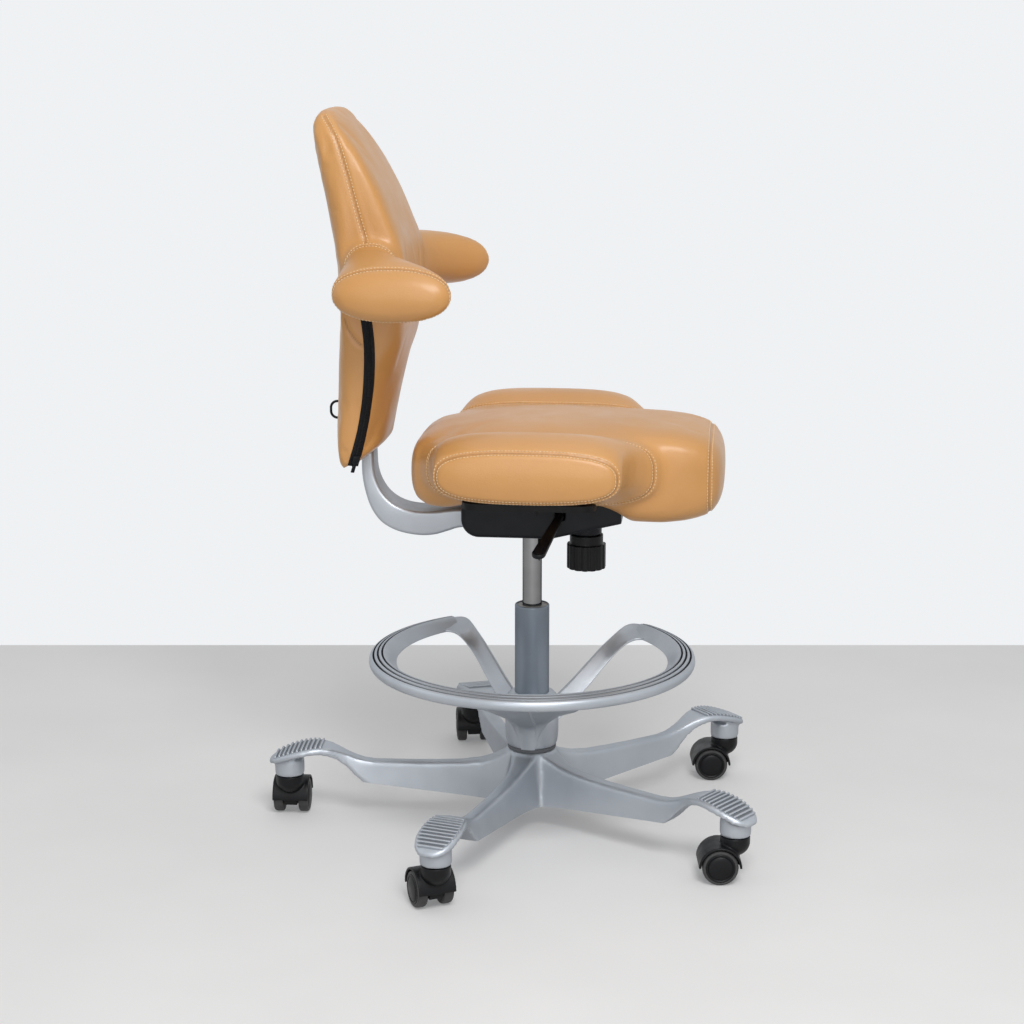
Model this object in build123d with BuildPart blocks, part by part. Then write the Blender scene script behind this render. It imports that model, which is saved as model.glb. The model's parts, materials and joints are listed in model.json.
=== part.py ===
from build123d import *
import math
import os

# Saddle chair on a five-star base, with a foot ring, a gas column, a tilt mechanism,
# a saddle seat and a winged back. Millimetres. The origin is on the floor under the column,
# +X is the sitter's forward, +Y the sitter's left and +Z up.

os.makedirs("parts", exist_ok=True)

# Clearances
RUNNING_GAP = 0.05  # radial, round anything that turns or slides
PRESS_GAP = 0.02  # radial, round anything pressed or screwed in
SLIDE_GAP = 0.3  # between faces that slide past each other or only lie close

# Five-star base
ARM_COUNT = 5
ARM_TURN = 38.7  # angle of the first arm from the chair's forward direction
CASTER_CIRCLE = 359.0  # radius of the circle on which the caster stems stand
COLLAR_D = 43.6
COLLAR_FOOT_Z = 65.0
HUB_TOP_D = 72.0
HUB_WAIST_D = 92.0
HUB_FOOT_Z = 34.0
HUB_FOOT_INSET = 6.0
HUB_FOOT_RISE = 8.0
HUB_SHOULDER = 8.0  # from the arms' ridge down to where the hub's neck begins
HUB_TOP_Z = 116.0
HUB_LIP = 4.0  # inward lip that carries the column
ARM_RIDGE_Z = 90.0
ARM_ROOT_FOOT_Z = 38.0
ARM_ELBOW_FOOT_Z = 58.0
ARM_ELBOW_BACK = 112.0  # from the caster stem back to the elbow
ARM_NECK = 38.0  # from the elbow out to the middle of the rise
ARM_NECK_THICK = 11.0
ARM_BEND = 14.0  # from the elbow back to where the rise begins
ARM_DRAFT = 8.0
ARM_FOOT_HALF_WIDTH = 20.0
ARM_WALL = 4.5
ARM_ROOF = 7.0
ARM_ROOT_FLARE = 2.0  # an arm's half width gained from the elbow to the column
ARM_ROOT_REACH = 95.0
ARM_ROOT_R = 26.0  # fillet between neighbouring arms
LEAF_NECK_FLARE = 3.0
LEAF_WIDEST_BACK = 2.0  # from the caster stem back to the widest place of the leaf
STEP_TOP_Z = 117.0
STEP_THICK = 10.0
STEP_HALF_WIDTH = 27.0
STEP_TIP = 38.0  # step plate beyond the caster stem
STEP_PEAK_BACK = 33.0  # from the caster stem back to the top of the step plate
STEP_FALL = 35.0  # from the top of the step plate down to its tip
STEP_STEM_FALL = 10.0  # from the top of the step plate down to over the caster stem
STEP_TIP_THICK = 7.0
RIDGE_COUNT = 10
RIDGE_PITCH = 8.0
RIDGE_WIDTH = 4.2
RIDGE_HEIGHT = 2.4
STEP_RIM = 4.5

# Casters
STEM_D = 11.0
STEM_IN_COLLAR = 26.0
STEM_IN_HOOD = 20.0
CASTER_TRAIL = 21.6
WHEEL_R = 25.0
WHEEL_CORE_R = 20.6
WHEEL_INNER_Y = 11.0
WHEEL_OUTER_Y = 28.0
WHEEL_DOME = 2.6
TYRE_SHOULDER_R = 2.4
AXLE_D = 8.0
AXLE_COVER = 4.0  # wheel material left outside the axle's end
HOOD_COLUMN_D = 41.0
HOOD_DOME_Z = 36.0
HOOD_DOME_HEIGHT = 18.0
FENDER_WALL = 3.2
FENDER_HALF_WIDTH = 26.5
WELL_GAP = 1.6
WEB_HALF_WIDTH = 10.0
WEB_FOOT_Z = 16.0
# name and direction in which each caster trails at rest, in the order of the arms
CASTERS = (
    ("front_left", 186.0),
    ("left", 101.0),
    ("rear", 93.0),
    ("right", 118.0),
    ("front_right", 186.0),
)

# Foot ring
RING_TURN = -92.5  # direction of the front web
RING_R = 237.0
RING_WIDTH = 40.0
RING_TOP_Z = 262.0
RING_THICK = 16.0
RING_HALF_SPAN = 138.0
RING_EDGE_R = 6.0
GROOVE_COUNT = 3
GROOVE_PITCH = 7.0
GROOVE_WIDTH = 3.2
GROOVE_DEPTH = 1.6
GROOVE_FIRST = 12.0  # outer edge of the ring to the first groove
# stations of the band that turns in from the ring's end and runs down to the hub as a spoke:
# depth in from the ring's outer edge, angle from the web and drop below the ring's top, first for the
# band's upper edge and then for its lower one, and the width of its flat top
SPOKE_BAND = (
    (3, 124.0, 1.0, 38, 122.0, 15, 22.0),
    (4, 135.0, 1.5, 38, 126.5, 15, 16.0),
    (13, 139.5, 2.0, 38, 129.0, 15, 8.0),
    (23, 142.3, 2.2, 41, 131.0, 16, 5.0),
    (34, 143.3, 3.0, 48, 132.6, 17, 4.0),
    (48, 143.2, 6.4, 60, 133.2, 20, 3.5),
    (65, 143.2, 13.4, 75, 134.0, 29, 3.5),
    (89, 143.5, 25.4, 95, 135.2, 46, 3.5),
    (117, 144.3, 43.0, 120, 134.2, 65, 3.5),
    (147, 145.7, 62.0, 149, 132.4, 85, 4.0),
    (177, 148.6, 79.5, 179, 129.0, 105, 4.0),
    (205, 156.0, 96.0, 207, 120.0, 123, 5.0),
)
RING_HUB_D = 78.0
RING_HUB_BAND = 10.0
RING_HUB_SHOULDER = 6.0
RING_HUB_STEP = 4.0
RING_HUB_TOP_D = 66.0
RING_HUB_TOP_Z = 200.0
WEB_HALF_SPAN = 56.0
WEB_TRIM = 20.0  # angle cut off each end of the fan's dish
WEB_THICK = 9.0
WEB_HUB_RISE = 34.0  # from the hub's foot up to the web
WEB_MIDDLE_R = 108.0
WEB_MIDDLE_RISE = 33.0
WEB_LAP = 6.0  # web that reaches under the ring
WEB_LIFT = 3.0  # web's outer edge above the ring's foot
WEB_WAIST_X = 93.0
WEB_WAIST_HALF = 74.0
WEB_RIB_WIDTH = 32.0
WEB_RIB_DEPTH = 5.0
WEB_RIB_SETBACK = 8.0
GASKET_D = 71.0
GASKET_HEIGHT = 5.0

# Gas column
TUBE_D = 50.0
TUBE_WALL = 2.5
TUBE_TOP_Z = 332.0
TUBE_LIP_R = 2.0
BUSH_LENGTH = 70.0
BUSH_SETBACK = 1.5
END_PLATE_THICK = 5.0
BEARING_D = 26.0
BEARING_WASHER = 2.0
BALL_D = 3.0
BALL_COUNT = 8
BALL_GAP = 0.05
ROD_D = 10.0
ROD_TAIL = 7.0  # rod below the end plate
ROD_COLLAR_D = 18.0
ROD_COLLAR_HEIGHT = 4.0
CLIP_D = 18.0
CLIP_THICK = 2.0
CLIP_GROOVE_D = 8.0
CLIP_MOUTH = 5.6
PISTON_Z = 272.0
PISTON_HEIGHT = 12.0
CYLINDER_D = 28.0
CYLINDER_WALL = 2.0
CYLINDER_FOOT_Z = 147.0
CYLINDER_END_WALL = 12.0
CYLINDER_HEAD = 30.0
PIN_D = 8.0
PIN_PROUD = 8.0
PIN_LENGTH = 30.0
PIN_CHAMFER = 1.0

# Tilt block
PIVOT_Z = 480.0
BOSS_FOOT_Z = 437.0
BOSS_D = 40.0
BLOCK_FOOT_Z = 453.0
BLOCK_TOP_Z = 464.0
BLOCK_LENGTH = 60.0
BLOCK_WIDTH = 80.0
BLOCK_CORNER_R = 5.0
EAR_R = 13.0
EAR_THICK = 12.0
NOSE_FOOT_Z = 483.0
NOSE_THICK = 6.0
NOSE_RISER = 8.0
NOSE_WIDTH = 24.0
NOSE_LENGTH = 95.0
NOSE_HOLE_D = 14.0
PIVOT_BOLT_D = 12.0
PIVOT_HEAD_D = 22.0
PIVOT_HEAD_THICK = 4.0

# Mechanism tub and slide plate
TUB_REAR_X = -96.0
TUB_FRONT_X = 131.0
TUB_HALF_WIDTH = 60.0
TUB_FOOT_Z = 442.0
TUB_TOP_Z = 496.0
TUB_FRONT_RISE = 24.0
TUB_SLOPE_X = 32.0
TUB_REAR_R = 25.0
TUB_EDGE_R = 6.0
TUB_WALL = 4.0
TILT_ROOM = 8.0  # room for the boss to move in the tub's floor
PLATE_THICK = 6.0
PLATE_OVERHANG = 4.0
PLATE_CORNER_R = 4.0

# Tension knob and spring
KNOB_X = 78.0
KNOB_FOOT_Z = 388.0
KNOB_D = 56.0
KNOB_GRIP_HEIGHT = 36.0
KNOB_EDGE_R = 1.5
KNOB_NECK_D = 48.0
KNOB_NECK_HEIGHT = 14.0
FLUTE_COUNT = 14
FLUTE_D = 7.0
KNOB_BOSS_D = 44.0
SPINDLE_D = 8.0
SPINDLE_TOP_Z = 490.0
SPRING_D = 24.0
SPRING_SEAT_RIM = 1.5
SPRING_WIRE = 3.0
SPRING_TURNS = 4

# Levers
LEVER_X = 45.0
LEVER_Z = 477.0
LEVER_REACH = 115.0  # sideways, from the tub to the tip
LEVER_BACK = 22.0
LEVER_DROP = 32.0
LEVER_ROOT_WIDTH = 11.0
LEVER_TIP_WIDTH = 19.0
LEVER_THICK = 7.0
LEVER_EDGE_R = 2.0
LEVER_GAP = 1.0  # between the tub's wall and a lever's handle
LEVER_ROOT_LAP = 6.0  # finger or cam that reaches into the handle
FINGER_WIDTH = 8.0
FINGER_THICK = 6.0
FINGER_SIDE_Y = 18.0
FINGER_PAST = 3.0
LEVER_SLOT = 13.0
CAM_LENGTH = 16.0

# Back arm
ARM_BAR_WIDTH = 66.0
ARM_BAR_ROOT_X = -42.0
ARM_BAR_ROOT_FOOT_Z = 450.0
ARM_BAR_ROOT_TOP_Z = 478.0
ARM_BAR_CLEAR = 4.0  # straight root behind the tub
ARM_BAR_EDGE_R = 5.0
# the bend seen from the side: forward of the upright's rear, and above the root's foot or its top
ARM_BAR_UNDERSIDE = ((86, -13), (45, 1), (13, 39))
ARM_BAR_TOPSIDE = ((30, 13), (57, -4), (91, -9))
ARM_TAPER_FOOT = 8.0  # above the root's top, where the arm begins to narrow
ARM_TAPER_TOP = 14.0  # above the upright's foot, where it has its narrow width
UPRIGHT_FOOT_Z = 527.0
UPRIGHT_TOP_Z = 760.0
UPRIGHT_REAR_X = -241.0
UPRIGHT_THICK = 17.0
UPRIGHT_WIDTH = 44.0
UPRIGHT_LEAN = 2.0
ARM_BOLT_D = 10.0
ARM_BOLT_HEAD_D = 16.0
ARM_BOLT_HEAD = 6.0
ARM_BOLT_FIRST_X = -80.0
ARM_BOLT_PITCH = 22.0

# Seat
PAN_THICK = 9.0
PAN_REAR_X = -150.0
PAN_FRONT_X = 225.0
PAN_HALF_WIDTH = 84.0
PAN_FLAP_HALF_WIDTH = 150.0
PAN_FLAP_REAR_X = -85.0
PAN_FLAP_FRONT_X = 100.0
PAN_CORNER_R = 20.0
RAIL_WALL = 4.0
RAIL_HOOK = 3.0
RAIL_LAP = 1.0  # rail that reaches into the pan
SEAT_SCREW_D = 6.0
SEAT_SCREW_HEAD_D = 12.0
SEAT_SCREW_HEAD = 3.0
SEAT_SCREW_BITE = 16.0
SEAT_SCREW_ROOM = 1.0  # hole beyond a screw's tip
SEAT_SCREW_REAR_X = -125.0
SEAT_SCREW_FRONT_X = 190.0
SEAT_SCREW_Y = 76.0
SEAT_REAR_X = -172.0
SEAT_FRONT_X = 275.0
SEAT_HALF_WIDTH = 120.0
SEAT_TOP_Z = 612.0
SEAT_SKIRT_Z = 494.0
FLAP_REAR_X = -119.0
FLAP_FRONT_X = 140.0
FLAP_HALF_WIDTH = 236.0
FLAP_FOOT_Z = 527.0
SEAT_SWELL = 6.0
FLAT_SWELL = 0.1  # of a cushion's flat underside

# Back
BACK_FOOT_Z = 529.0
BACK_TOP_Z = 1037.0
BACK_HALF_WIDTH = 106.0
BACK_SWELL = 6.0
WING_HALF_SPAN = 237.0
WING_Z = 812.0
SHELL_HALF_WIDTH = 72.0
SHELL_THICK = 7.0
SHELL_FOOT_Z = 578.0
SHELL_TOP_Z = 925.0
SLEEVE_WALL = 4.0
SLEEVE_TOP_Z = 800.0
ZIP_WIDTH = 13.0
ZIP_THICK = 3.0
# heights and places, seen from the side, through which each zip runs from top to bottom
ZIP_LINE = ((-220, 757), (-214, 700), (-222, 616), (-240, 552))
ARM_ROOM = 2.5  # room round the back arm in the cushion's mouth
LOOP_WIRE_D = 3.6
LOOP_HEIGHT = 24.0
LOOP_BEND_R = 9.5
LOOP_Z = 612.0
LOOP_REACH_X = -290.0

# Sizes that follow from the driving ones
tube_r = TUBE_D / 2
tube_bore_r = tube_r - TUBE_WALL
column_foot_z = HUB_FOOT_Z + HUB_LIP
bearing_foot_z = column_foot_z + END_PLATE_THICK
ball_z = bearing_foot_z + BEARING_WASHER + BALL_D / 2 + BALL_GAP
bearing_top_z = ball_z + BALL_D / 2 + BALL_GAP + BEARING_WASHER
rod_r = ROD_D / 2
cylinder_r = CYLINDER_D / 2
cylinder_bore_r = cylinder_r - CYLINDER_WALL
cylinder_top_z = BLOCK_TOP_Z
pin_top_z = cylinder_top_z + PIN_PROUD
gasket_top_z = HUB_TOP_Z + GASKET_HEIGHT
hood_top_z = COLLAR_FOOT_Z - SLIDE_GAP
axle_end_y = WHEEL_OUTER_Y - AXLE_COVER
plate_foot_z = TUB_TOP_Z
plate_top_z = plate_foot_z + PLATE_THICK
plate_half_width = TUB_HALF_WIDTH + PLATE_OVERHANG
pan_foot_z = plate_top_z + SLIDE_GAP
pan_top_z = pan_foot_z + PAN_THICK
floor_slope = TUB_FRONT_RISE / (TUB_FRONT_X - TUB_WALL - TUB_SLOPE_X)
floor_run = KNOB_X + SPRING_D / 2 + SPRING_SEAT_RIM - TUB_SLOPE_X
spring_seat_z = TUB_FOOT_Z + TUB_WALL + floor_slope * floor_run
knob_top_z = KNOB_FOOT_Z + KNOB_GRIP_HEIGHT + KNOB_NECK_HEIGHT
ear_outer_y = BLOCK_WIDTH / 2
lean_shift = math.tan(math.radians(UPRIGHT_LEAN))


def facing_forward(x):
    """Plane across the chair at x, with local x along +Y and local y up."""
    return Plane(origin=(x, 0, 0), x_dir=(0, 1, 0), z_dir=(1, 0, 0))


def facing_side(y):
    """Plane along the chair at y, with local x along +X and local y up."""
    return Plane(origin=(0, y, 0), x_dir=(1, 0, 0), z_dir=(0, -1, 0))


def upright(angle):
    """Upright plane through the column's axis, with local x outwards at an angle."""
    turn = math.radians(angle)
    outwards = (math.cos(turn), math.sin(turn), 0)
    return Plane(origin=(0, 0, 0), x_dir=outwards, z_dir=(outwards[1], -outwards[0], 0))


def leaning_x(x, z):
    """The x, at height z, of a line that leans with the back arm from x at the upright's foot."""
    return x - (z - UPRIGHT_FOOT_Z) * lean_shift


def puffed(plane, left, right, foot, top, swell, corner):
    """Section of a stuffed form: four bulging sides, swollen left, right, below and above."""
    middle = (left + right) / 2
    height = (foot + top) / 2
    bow = corner * (1 - math.sqrt(0.5))
    swell_left, swell_right, swell_foot, swell_top = swell
    with BuildSketch(plane) as section:
        with BuildLine():
            ThreePointArc((left + corner, foot), (middle, foot - swell_foot), (right - corner, foot))
            ThreePointArc((right - corner, foot), (right - bow, foot + bow), (right, foot + corner))
            ThreePointArc((right, foot + corner), (right + swell_right, height), (right, top - corner))
            ThreePointArc((right, top - corner), (right - bow, top - bow), (right - corner, top))
            ThreePointArc((right - corner, top), (middle, top + swell_top), (left + corner, top))
            ThreePointArc((left + corner, top), (left + bow, top - bow), (left, top - corner))
            ThreePointArc((left, top - corner), (left - swell_left, height), (left, foot + corner))
            ThreePointArc((left, foot + corner), (left + bow, foot + bow), (left + corner, foot))
        make_face()
    return section.sketch.face()


def turned(*profile, axis=Axis.Z, plane=Plane.XZ):
    """Solid of revolution of a straight-sided profile."""
    with BuildPart() as body:
        with BuildSketch(plane):
            with BuildLine():
                Polyline(*profile, close=True)
            make_face()
        revolve(axis=axis)
    return body.part


def write(part, label):
    """Labels a finished piece and writes it."""
    part.label = label
    export_step(part, f"parts/{label}.step")


# One arm of the base, laid along +X: a hollow blade that rises into a leaf-shaped step plate.
# Its side view and its drafted plan are drawn apart, and the arm is what they share.
elbow = CASTER_CIRCLE - ARM_ELBOW_BACK
tip = CASTER_CIRCLE + STEP_TIP
neck = elbow + ARM_NECK
step_peak = CASTER_CIRCLE - STEP_PEAK_BACK
step_foot_z = STEP_TOP_Z - STEP_THICK
neck_top_z = (ARM_RIDGE_Z + STEP_TOP_Z) / 2
tip_top_z = STEP_TOP_Z - STEP_FALL
draft_out = (STEP_TOP_Z - HUB_FOOT_Z) * math.tan(math.radians(ARM_DRAFT))


def top_line(lift):
    """Top of the step plate, from the elbow to the tip, lifted by some height."""
    return Spline(
        (elbow - ARM_BEND, ARM_RIDGE_Z + lift),
        (neck, neck_top_z + lift),
        (step_peak, STEP_TOP_Z + lift),
        (CASTER_CIRCLE, STEP_TOP_Z - STEP_STEM_FALL + lift),
        (tip, tip_top_z + lift),
        tangents=((1, 0), (1, -1)),
    )


def leaf_plan(narrower):
    """Plan of an arm at the hub's foot: a blade that widens into a leaf, made narrower all round."""
    with BuildSketch(Plane.XY.offset(HUB_FOOT_Z)) as plan:
        half_blade = ARM_FOOT_HALF_WIDTH - narrower
        half_root = half_blade + ARM_ROOT_FLARE
        half_neck = half_blade + LEAF_NECK_FLARE
        half_leaf = STEP_HALF_WIDTH + draft_out - narrower
        widest = CASTER_CIRCLE - LEAF_WIDEST_BACK
        with BuildLine():
            Line((0, half_root), (0, -half_root))
            Line((0, -half_root), (elbow, -half_blade))
            Spline(
                (elbow, -half_blade),
                (neck, -half_neck),
                (widest, -half_leaf),
                (tip + draft_out - narrower, 0),
                tangents=((1, 0), (0, 1)),
            )
            Spline(
                (tip + draft_out - narrower, 0),
                (widest, half_leaf),
                (neck, half_neck),
                (elbow, half_blade),
                tangents=((0, 1), (-1, 0)),
            )
            Line((elbow, half_blade), (0, half_root))
        make_face()
    return plan.sketch


with BuildPart() as ridges:
    with BuildSketch(facing_side(0)):
        with BuildLine():
            upper = top_line(RIDGE_HEIGHT)
            lower = top_line(-ARM_WALL)
            Line(upper @ 0, lower @ 0)
            Line(upper @ 1, lower @ 1)
        make_face()
        first_slot = CASTER_CIRCLE - RIDGE_PITCH * (RIDGE_COUNT / 2 + 1)
        for step in range(RIDGE_COUNT + 1):
            with Locations((first_slot + RIDGE_PITCH * step, STEP_TOP_Z)):
                Rectangle(RIDGE_PITCH - RIDGE_WIDTH, STEP_TOP_Z, mode=Mode.SUBTRACT)
        with Locations((first_slot, STEP_TOP_Z)):
            Rectangle(elbow, STEP_TOP_Z, align=(Align.MAX, Align.CENTER), mode=Mode.SUBTRACT)
        with Locations((first_slot + RIDGE_PITCH * RIDGE_COUNT, STEP_TOP_Z)):
            Rectangle(elbow, STEP_TOP_Z, align=(Align.MIN, Align.CENTER), mode=Mode.SUBTRACT)
    extrude(amount=2 * STEP_HALF_WIDTH, both=True)
    add(leaf_plan(STEP_RIM + draft_out))
    extrude(amount=2 * STEP_TOP_Z, mode=Mode.INTERSECT)

with BuildPart() as hollow:
    with BuildSketch(facing_side(0)):
        with BuildLine():
            roof = ARM_RIDGE_Z - ARM_ROOF
            Polyline(
                (HUB_WAIST_D / 2 + ARM_WALL, 0),
                (HUB_WAIST_D / 2 + ARM_WALL, roof),
                (elbow - ARM_BEND, roof),
                (neck, (roof + step_foot_z) / 2),
                (neck + ARM_WALL, 0),
                close=True,
            )
        make_face()
    extrude(amount=2 * STEP_HALF_WIDTH, both=True)
    add(leaf_plan(ARM_WALL))
    extrude(amount=2 * STEP_TOP_Z, taper=ARM_DRAFT, mode=Mode.INTERSECT)

with BuildPart() as arm:
    with BuildSketch(facing_side(0)):
        with BuildLine():
            step_top = top_line(0)
            Line(step_top @ 1, (tip, tip_top_z - STEP_TIP_THICK))
            Spline(
                (tip, tip_top_z - STEP_TIP_THICK),
                (CASTER_CIRCLE, step_foot_z - STEP_STEM_FALL),
                (step_peak, step_foot_z),
                (neck, neck_top_z - ARM_NECK_THICK),
                (elbow - ARM_BEND / 2, ARM_ELBOW_FOOT_Z),
                tangents=((-1, 0.6), (-1, -0.1)),
            )
            Polyline(
                (elbow - ARM_BEND / 2, ARM_ELBOW_FOOT_Z),
                (0, ARM_ROOT_FOOT_Z),
                (0, ARM_RIDGE_Z + ARM_WALL),
                step_top @ 0,
            )
        make_face()
    extrude(amount=3 * STEP_HALF_WIDTH, both=True)
    add(leaf_plan(0))
    extrude(amount=2 * STEP_TOP_Z, taper=ARM_DRAFT, mode=Mode.INTERSECT)
    add(ridges.part)
    with BuildSketch(Plane.XY.offset(COLLAR_FOOT_Z)):
        with Locations((CASTER_CIRCLE, 0)):
            Circle(COLLAR_D / 2)
    extrude(amount=step_foot_z - STEP_THICK - COLLAR_FOOT_Z)

# Roots of the arms, filled out round the hub so that each arm runs into its neighbours
with BuildPart() as arm_roots:
    with BuildSketch(Plane.XY.offset(HUB_FOOT_Z)) as roots_plan:
        with PolarLocations(0, ARM_COUNT, start_angle=ARM_TURN):
            Rectangle(ARM_ROOT_REACH, 2 * ARM_FOOT_HALF_WIDTH, align=(Align.MIN, Align.CENTER))
        fillet(roots_plan.vertices().sort_by_distance((0, 0, HUB_FOOT_Z))[:ARM_COUNT], ARM_ROOT_R)
    extrude(amount=STEP_TOP_Z, taper=ARM_DRAFT)
    foot_rise = (ARM_ELBOW_FOOT_Z - ARM_ROOT_FOOT_Z) / (elbow - ARM_BEND / 2) * ARM_ROOT_REACH
    with BuildSketch(Plane.XZ):
        with BuildLine():
            Polyline(
                (0, ARM_ROOT_FOOT_Z),
                (ARM_ROOT_REACH, ARM_ROOT_FOOT_Z + foot_rise),
                (ARM_ROOT_REACH, ARM_RIDGE_Z),
                (0, ARM_RIDGE_Z),
                close=True,
            )
        make_face()
    revolve(axis=Axis.Z, mode=Mode.INTERSECT)

neck_foot_z = ARM_RIDGE_Z - HUB_SHOULDER
with BuildPart() as star_base:
    with BuildSketch(Plane.XZ):
        with BuildLine():
            Polyline(
                (0, HUB_FOOT_Z),
                (HUB_WAIST_D / 2 - HUB_FOOT_INSET, HUB_FOOT_Z),
                (HUB_WAIST_D / 2, HUB_FOOT_Z + HUB_FOOT_RISE),
                (HUB_WAIST_D / 2, neck_foot_z),
            )
            RadiusArc((HUB_WAIST_D / 2, neck_foot_z), (HUB_TOP_D / 2, HUB_TOP_Z), HUB_TOP_D / 2)
            Polyline((HUB_TOP_D / 2, HUB_TOP_Z), (0, HUB_TOP_Z), (0, HUB_FOOT_Z))
        make_face()
    revolve(axis=Axis.Z)
    with PolarLocations(0, ARM_COUNT, start_angle=ARM_TURN):
        add(arm.part)
    add(arm_roots.part)
    with PolarLocations(0, ARM_COUNT, start_angle=ARM_TURN):
        add(hollow.part, mode=Mode.SUBTRACT)
    with Locations((0, 0, column_foot_z)):
        Cylinder(
            tube_r + PRESS_GAP,
            HUB_TOP_Z,
            align=(Align.CENTER, Align.CENTER, Align.MIN),
            mode=Mode.SUBTRACT,
        )
    Cylinder(tube_bore_r - HUB_LIP, 4 * HUB_TOP_Z, mode=Mode.SUBTRACT)
    with Locations((0, 0, COLLAR_FOOT_Z)):
        with PolarLocations(CASTER_CIRCLE, ARM_COUNT, start_angle=ARM_TURN):
            Cylinder(STEM_D / 2 + PRESS_GAP, 2 * STEM_IN_COLLAR, mode=Mode.SUBTRACT)
write(star_base.part, "star_base")

# Steel stems, pressed into the collars, on which the caster hoods swivel
with BuildPart() as caster_stems:
    with PolarLocations(CASTER_CIRCLE, ARM_COUNT, start_angle=ARM_TURN):
        with Locations((0, 0, COLLAR_FOOT_Z - STEM_IN_HOOD)):
            Cylinder(
                STEM_D / 2,
                STEM_IN_HOOD + STEM_IN_COLLAR,
                align=(Align.CENTER, Align.CENTER, Align.MIN),
            )
write(caster_stems.part, "caster_stems")


def dome_radius(half_width, height):
    """Radius of a dome with its middle on the axis."""
    return (half_width**2 + height**2) / (2 * height)


# Caster hood: a swivel column with a domed foot, a fender over both wheels and a web between them
hood_r = HOOD_COLUMN_D / 2
hood_dome_r = dome_radius(hood_r, HOOD_DOME_HEIGHT)
hood_dome_top_z = HOOD_DOME_Z + HOOD_DOME_HEIGHT
with BuildPart() as hood:
    with BuildSketch(Plane.XZ):
        with BuildLine():
            ThreePointArc(
                (0, HOOD_DOME_Z),
                (hood_r / 2, HOOD_DOME_Z + hood_dome_r - math.sqrt(hood_dome_r**2 - hood_r**2 / 4)),
                (hood_r, hood_dome_top_z),
            )
            Polyline(
                (hood_r, hood_dome_top_z),
                (hood_r, hood_top_z),
                (0, hood_top_z),
                (0, HOOD_DOME_Z),
            )
        make_face()
    revolve(axis=Axis.Z)
    with BuildSketch(Plane.XZ):
        with Locations((CASTER_TRAIL, WHEEL_R)):
            Circle(WHEEL_R + WELL_GAP + FENDER_WALL)
            Rectangle(
                4 * WHEEL_R,
                2 * WHEEL_R,
                align=(Align.CENTER, Align.MAX),
                mode=Mode.SUBTRACT,
            )
    extrude(amount=FENDER_HALF_WIDTH, both=True)
    with BuildSketch(Plane.XZ):
        with Locations((CASTER_TRAIL, WHEEL_R)):
            Circle(WHEEL_R)
        with Locations((CASTER_TRAIL, WEB_FOOT_Z)):
            Rectangle(
                4 * WHEEL_R,
                2 * WHEEL_R,
                align=(Align.CENTER, Align.MAX),
                mode=Mode.SUBTRACT,
            )
    extrude(amount=WEB_HALF_WIDTH, both=True)
    for side in (-1, 1):
        with BuildSketch(facing_side(side * (WEB_HALF_WIDTH + WHEEL_R))):
            with Locations((CASTER_TRAIL, WHEEL_R)):
                Circle(WHEEL_R + WELL_GAP)
        extrude(amount=WHEEL_R, both=True, mode=Mode.SUBTRACT)
    with BuildSketch(Plane.XZ):
        with Locations((CASTER_TRAIL, WHEEL_R)):
            Circle(AXLE_D / 2 + PRESS_GAP)
    extrude(amount=2 * WEB_HALF_WIDTH, both=True, mode=Mode.SUBTRACT)
    with Locations((0, 0, hood_top_z)):
        Cylinder(
            STEM_D / 2 + RUNNING_GAP,
            2 * STEM_IN_HOOD,
            mode=Mode.SUBTRACT,
        )

with BuildPart() as axle:
    with BuildSketch(Plane.XZ):
        with Locations((CASTER_TRAIL, WHEEL_R)):
            Circle(AXLE_D / 2)
    extrude(amount=axle_end_y, both=True)

# Wheels: a plastic core with a domed face and a blind bore, and a grey tyre shrunk on its rim
axle_line = Axis((CASTER_TRAIL, 0, WHEEL_R), (0, 1, 0))
wheel_plane = Plane(origin=(CASTER_TRAIL, 0, WHEEL_R), x_dir=(0, 1, 0), z_dir=(1, 0, 0))
bore_r = AXLE_D / 2 + RUNNING_GAP
bore_end_y = axle_end_y + SLIDE_GAP
rim_y = WHEEL_OUTER_Y - WHEEL_DOME
dome_r = dome_radius(WHEEL_CORE_R, WHEEL_DOME)
dome_centre_y = WHEEL_OUTER_Y - dome_r

with BuildPart() as left_core:
    with BuildSketch(wheel_plane):
        with BuildLine():
            Polyline(
                (bore_end_y, 0),
                (bore_end_y, bore_r),
                (WHEEL_INNER_Y, bore_r),
                (WHEEL_INNER_Y, WHEEL_CORE_R),
                (rim_y, WHEEL_CORE_R),
            )
            ThreePointArc(
                (rim_y, WHEEL_CORE_R),
                (dome_centre_y + math.sqrt(dome_r**2 - WHEEL_CORE_R**2 / 4), WHEEL_CORE_R / 2),
                (WHEEL_OUTER_Y, 0),
            )
            Line((WHEEL_OUTER_Y, 0), (bore_end_y, 0))
        make_face()
    revolve(axis=axle_line)

with BuildPart() as left_tyre:
    with BuildSketch(wheel_plane) as tread:
        tyre_height = WHEEL_R - WHEEL_CORE_R - PRESS_GAP
        with Locations(((WHEEL_INNER_Y + rim_y) / 2, WHEEL_R - tyre_height / 2)):
            Rectangle(rim_y - WHEEL_INNER_Y, tyre_height)
        fillet(tread.vertices().group_by(Axis.Y)[-1], TYRE_SHOULDER_R)
    revolve(axis=axle_line)

right_core = mirror(left_core.part, about=Plane.XZ)
right_tyre = mirror(left_tyre.part, about=Plane.XZ)

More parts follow.
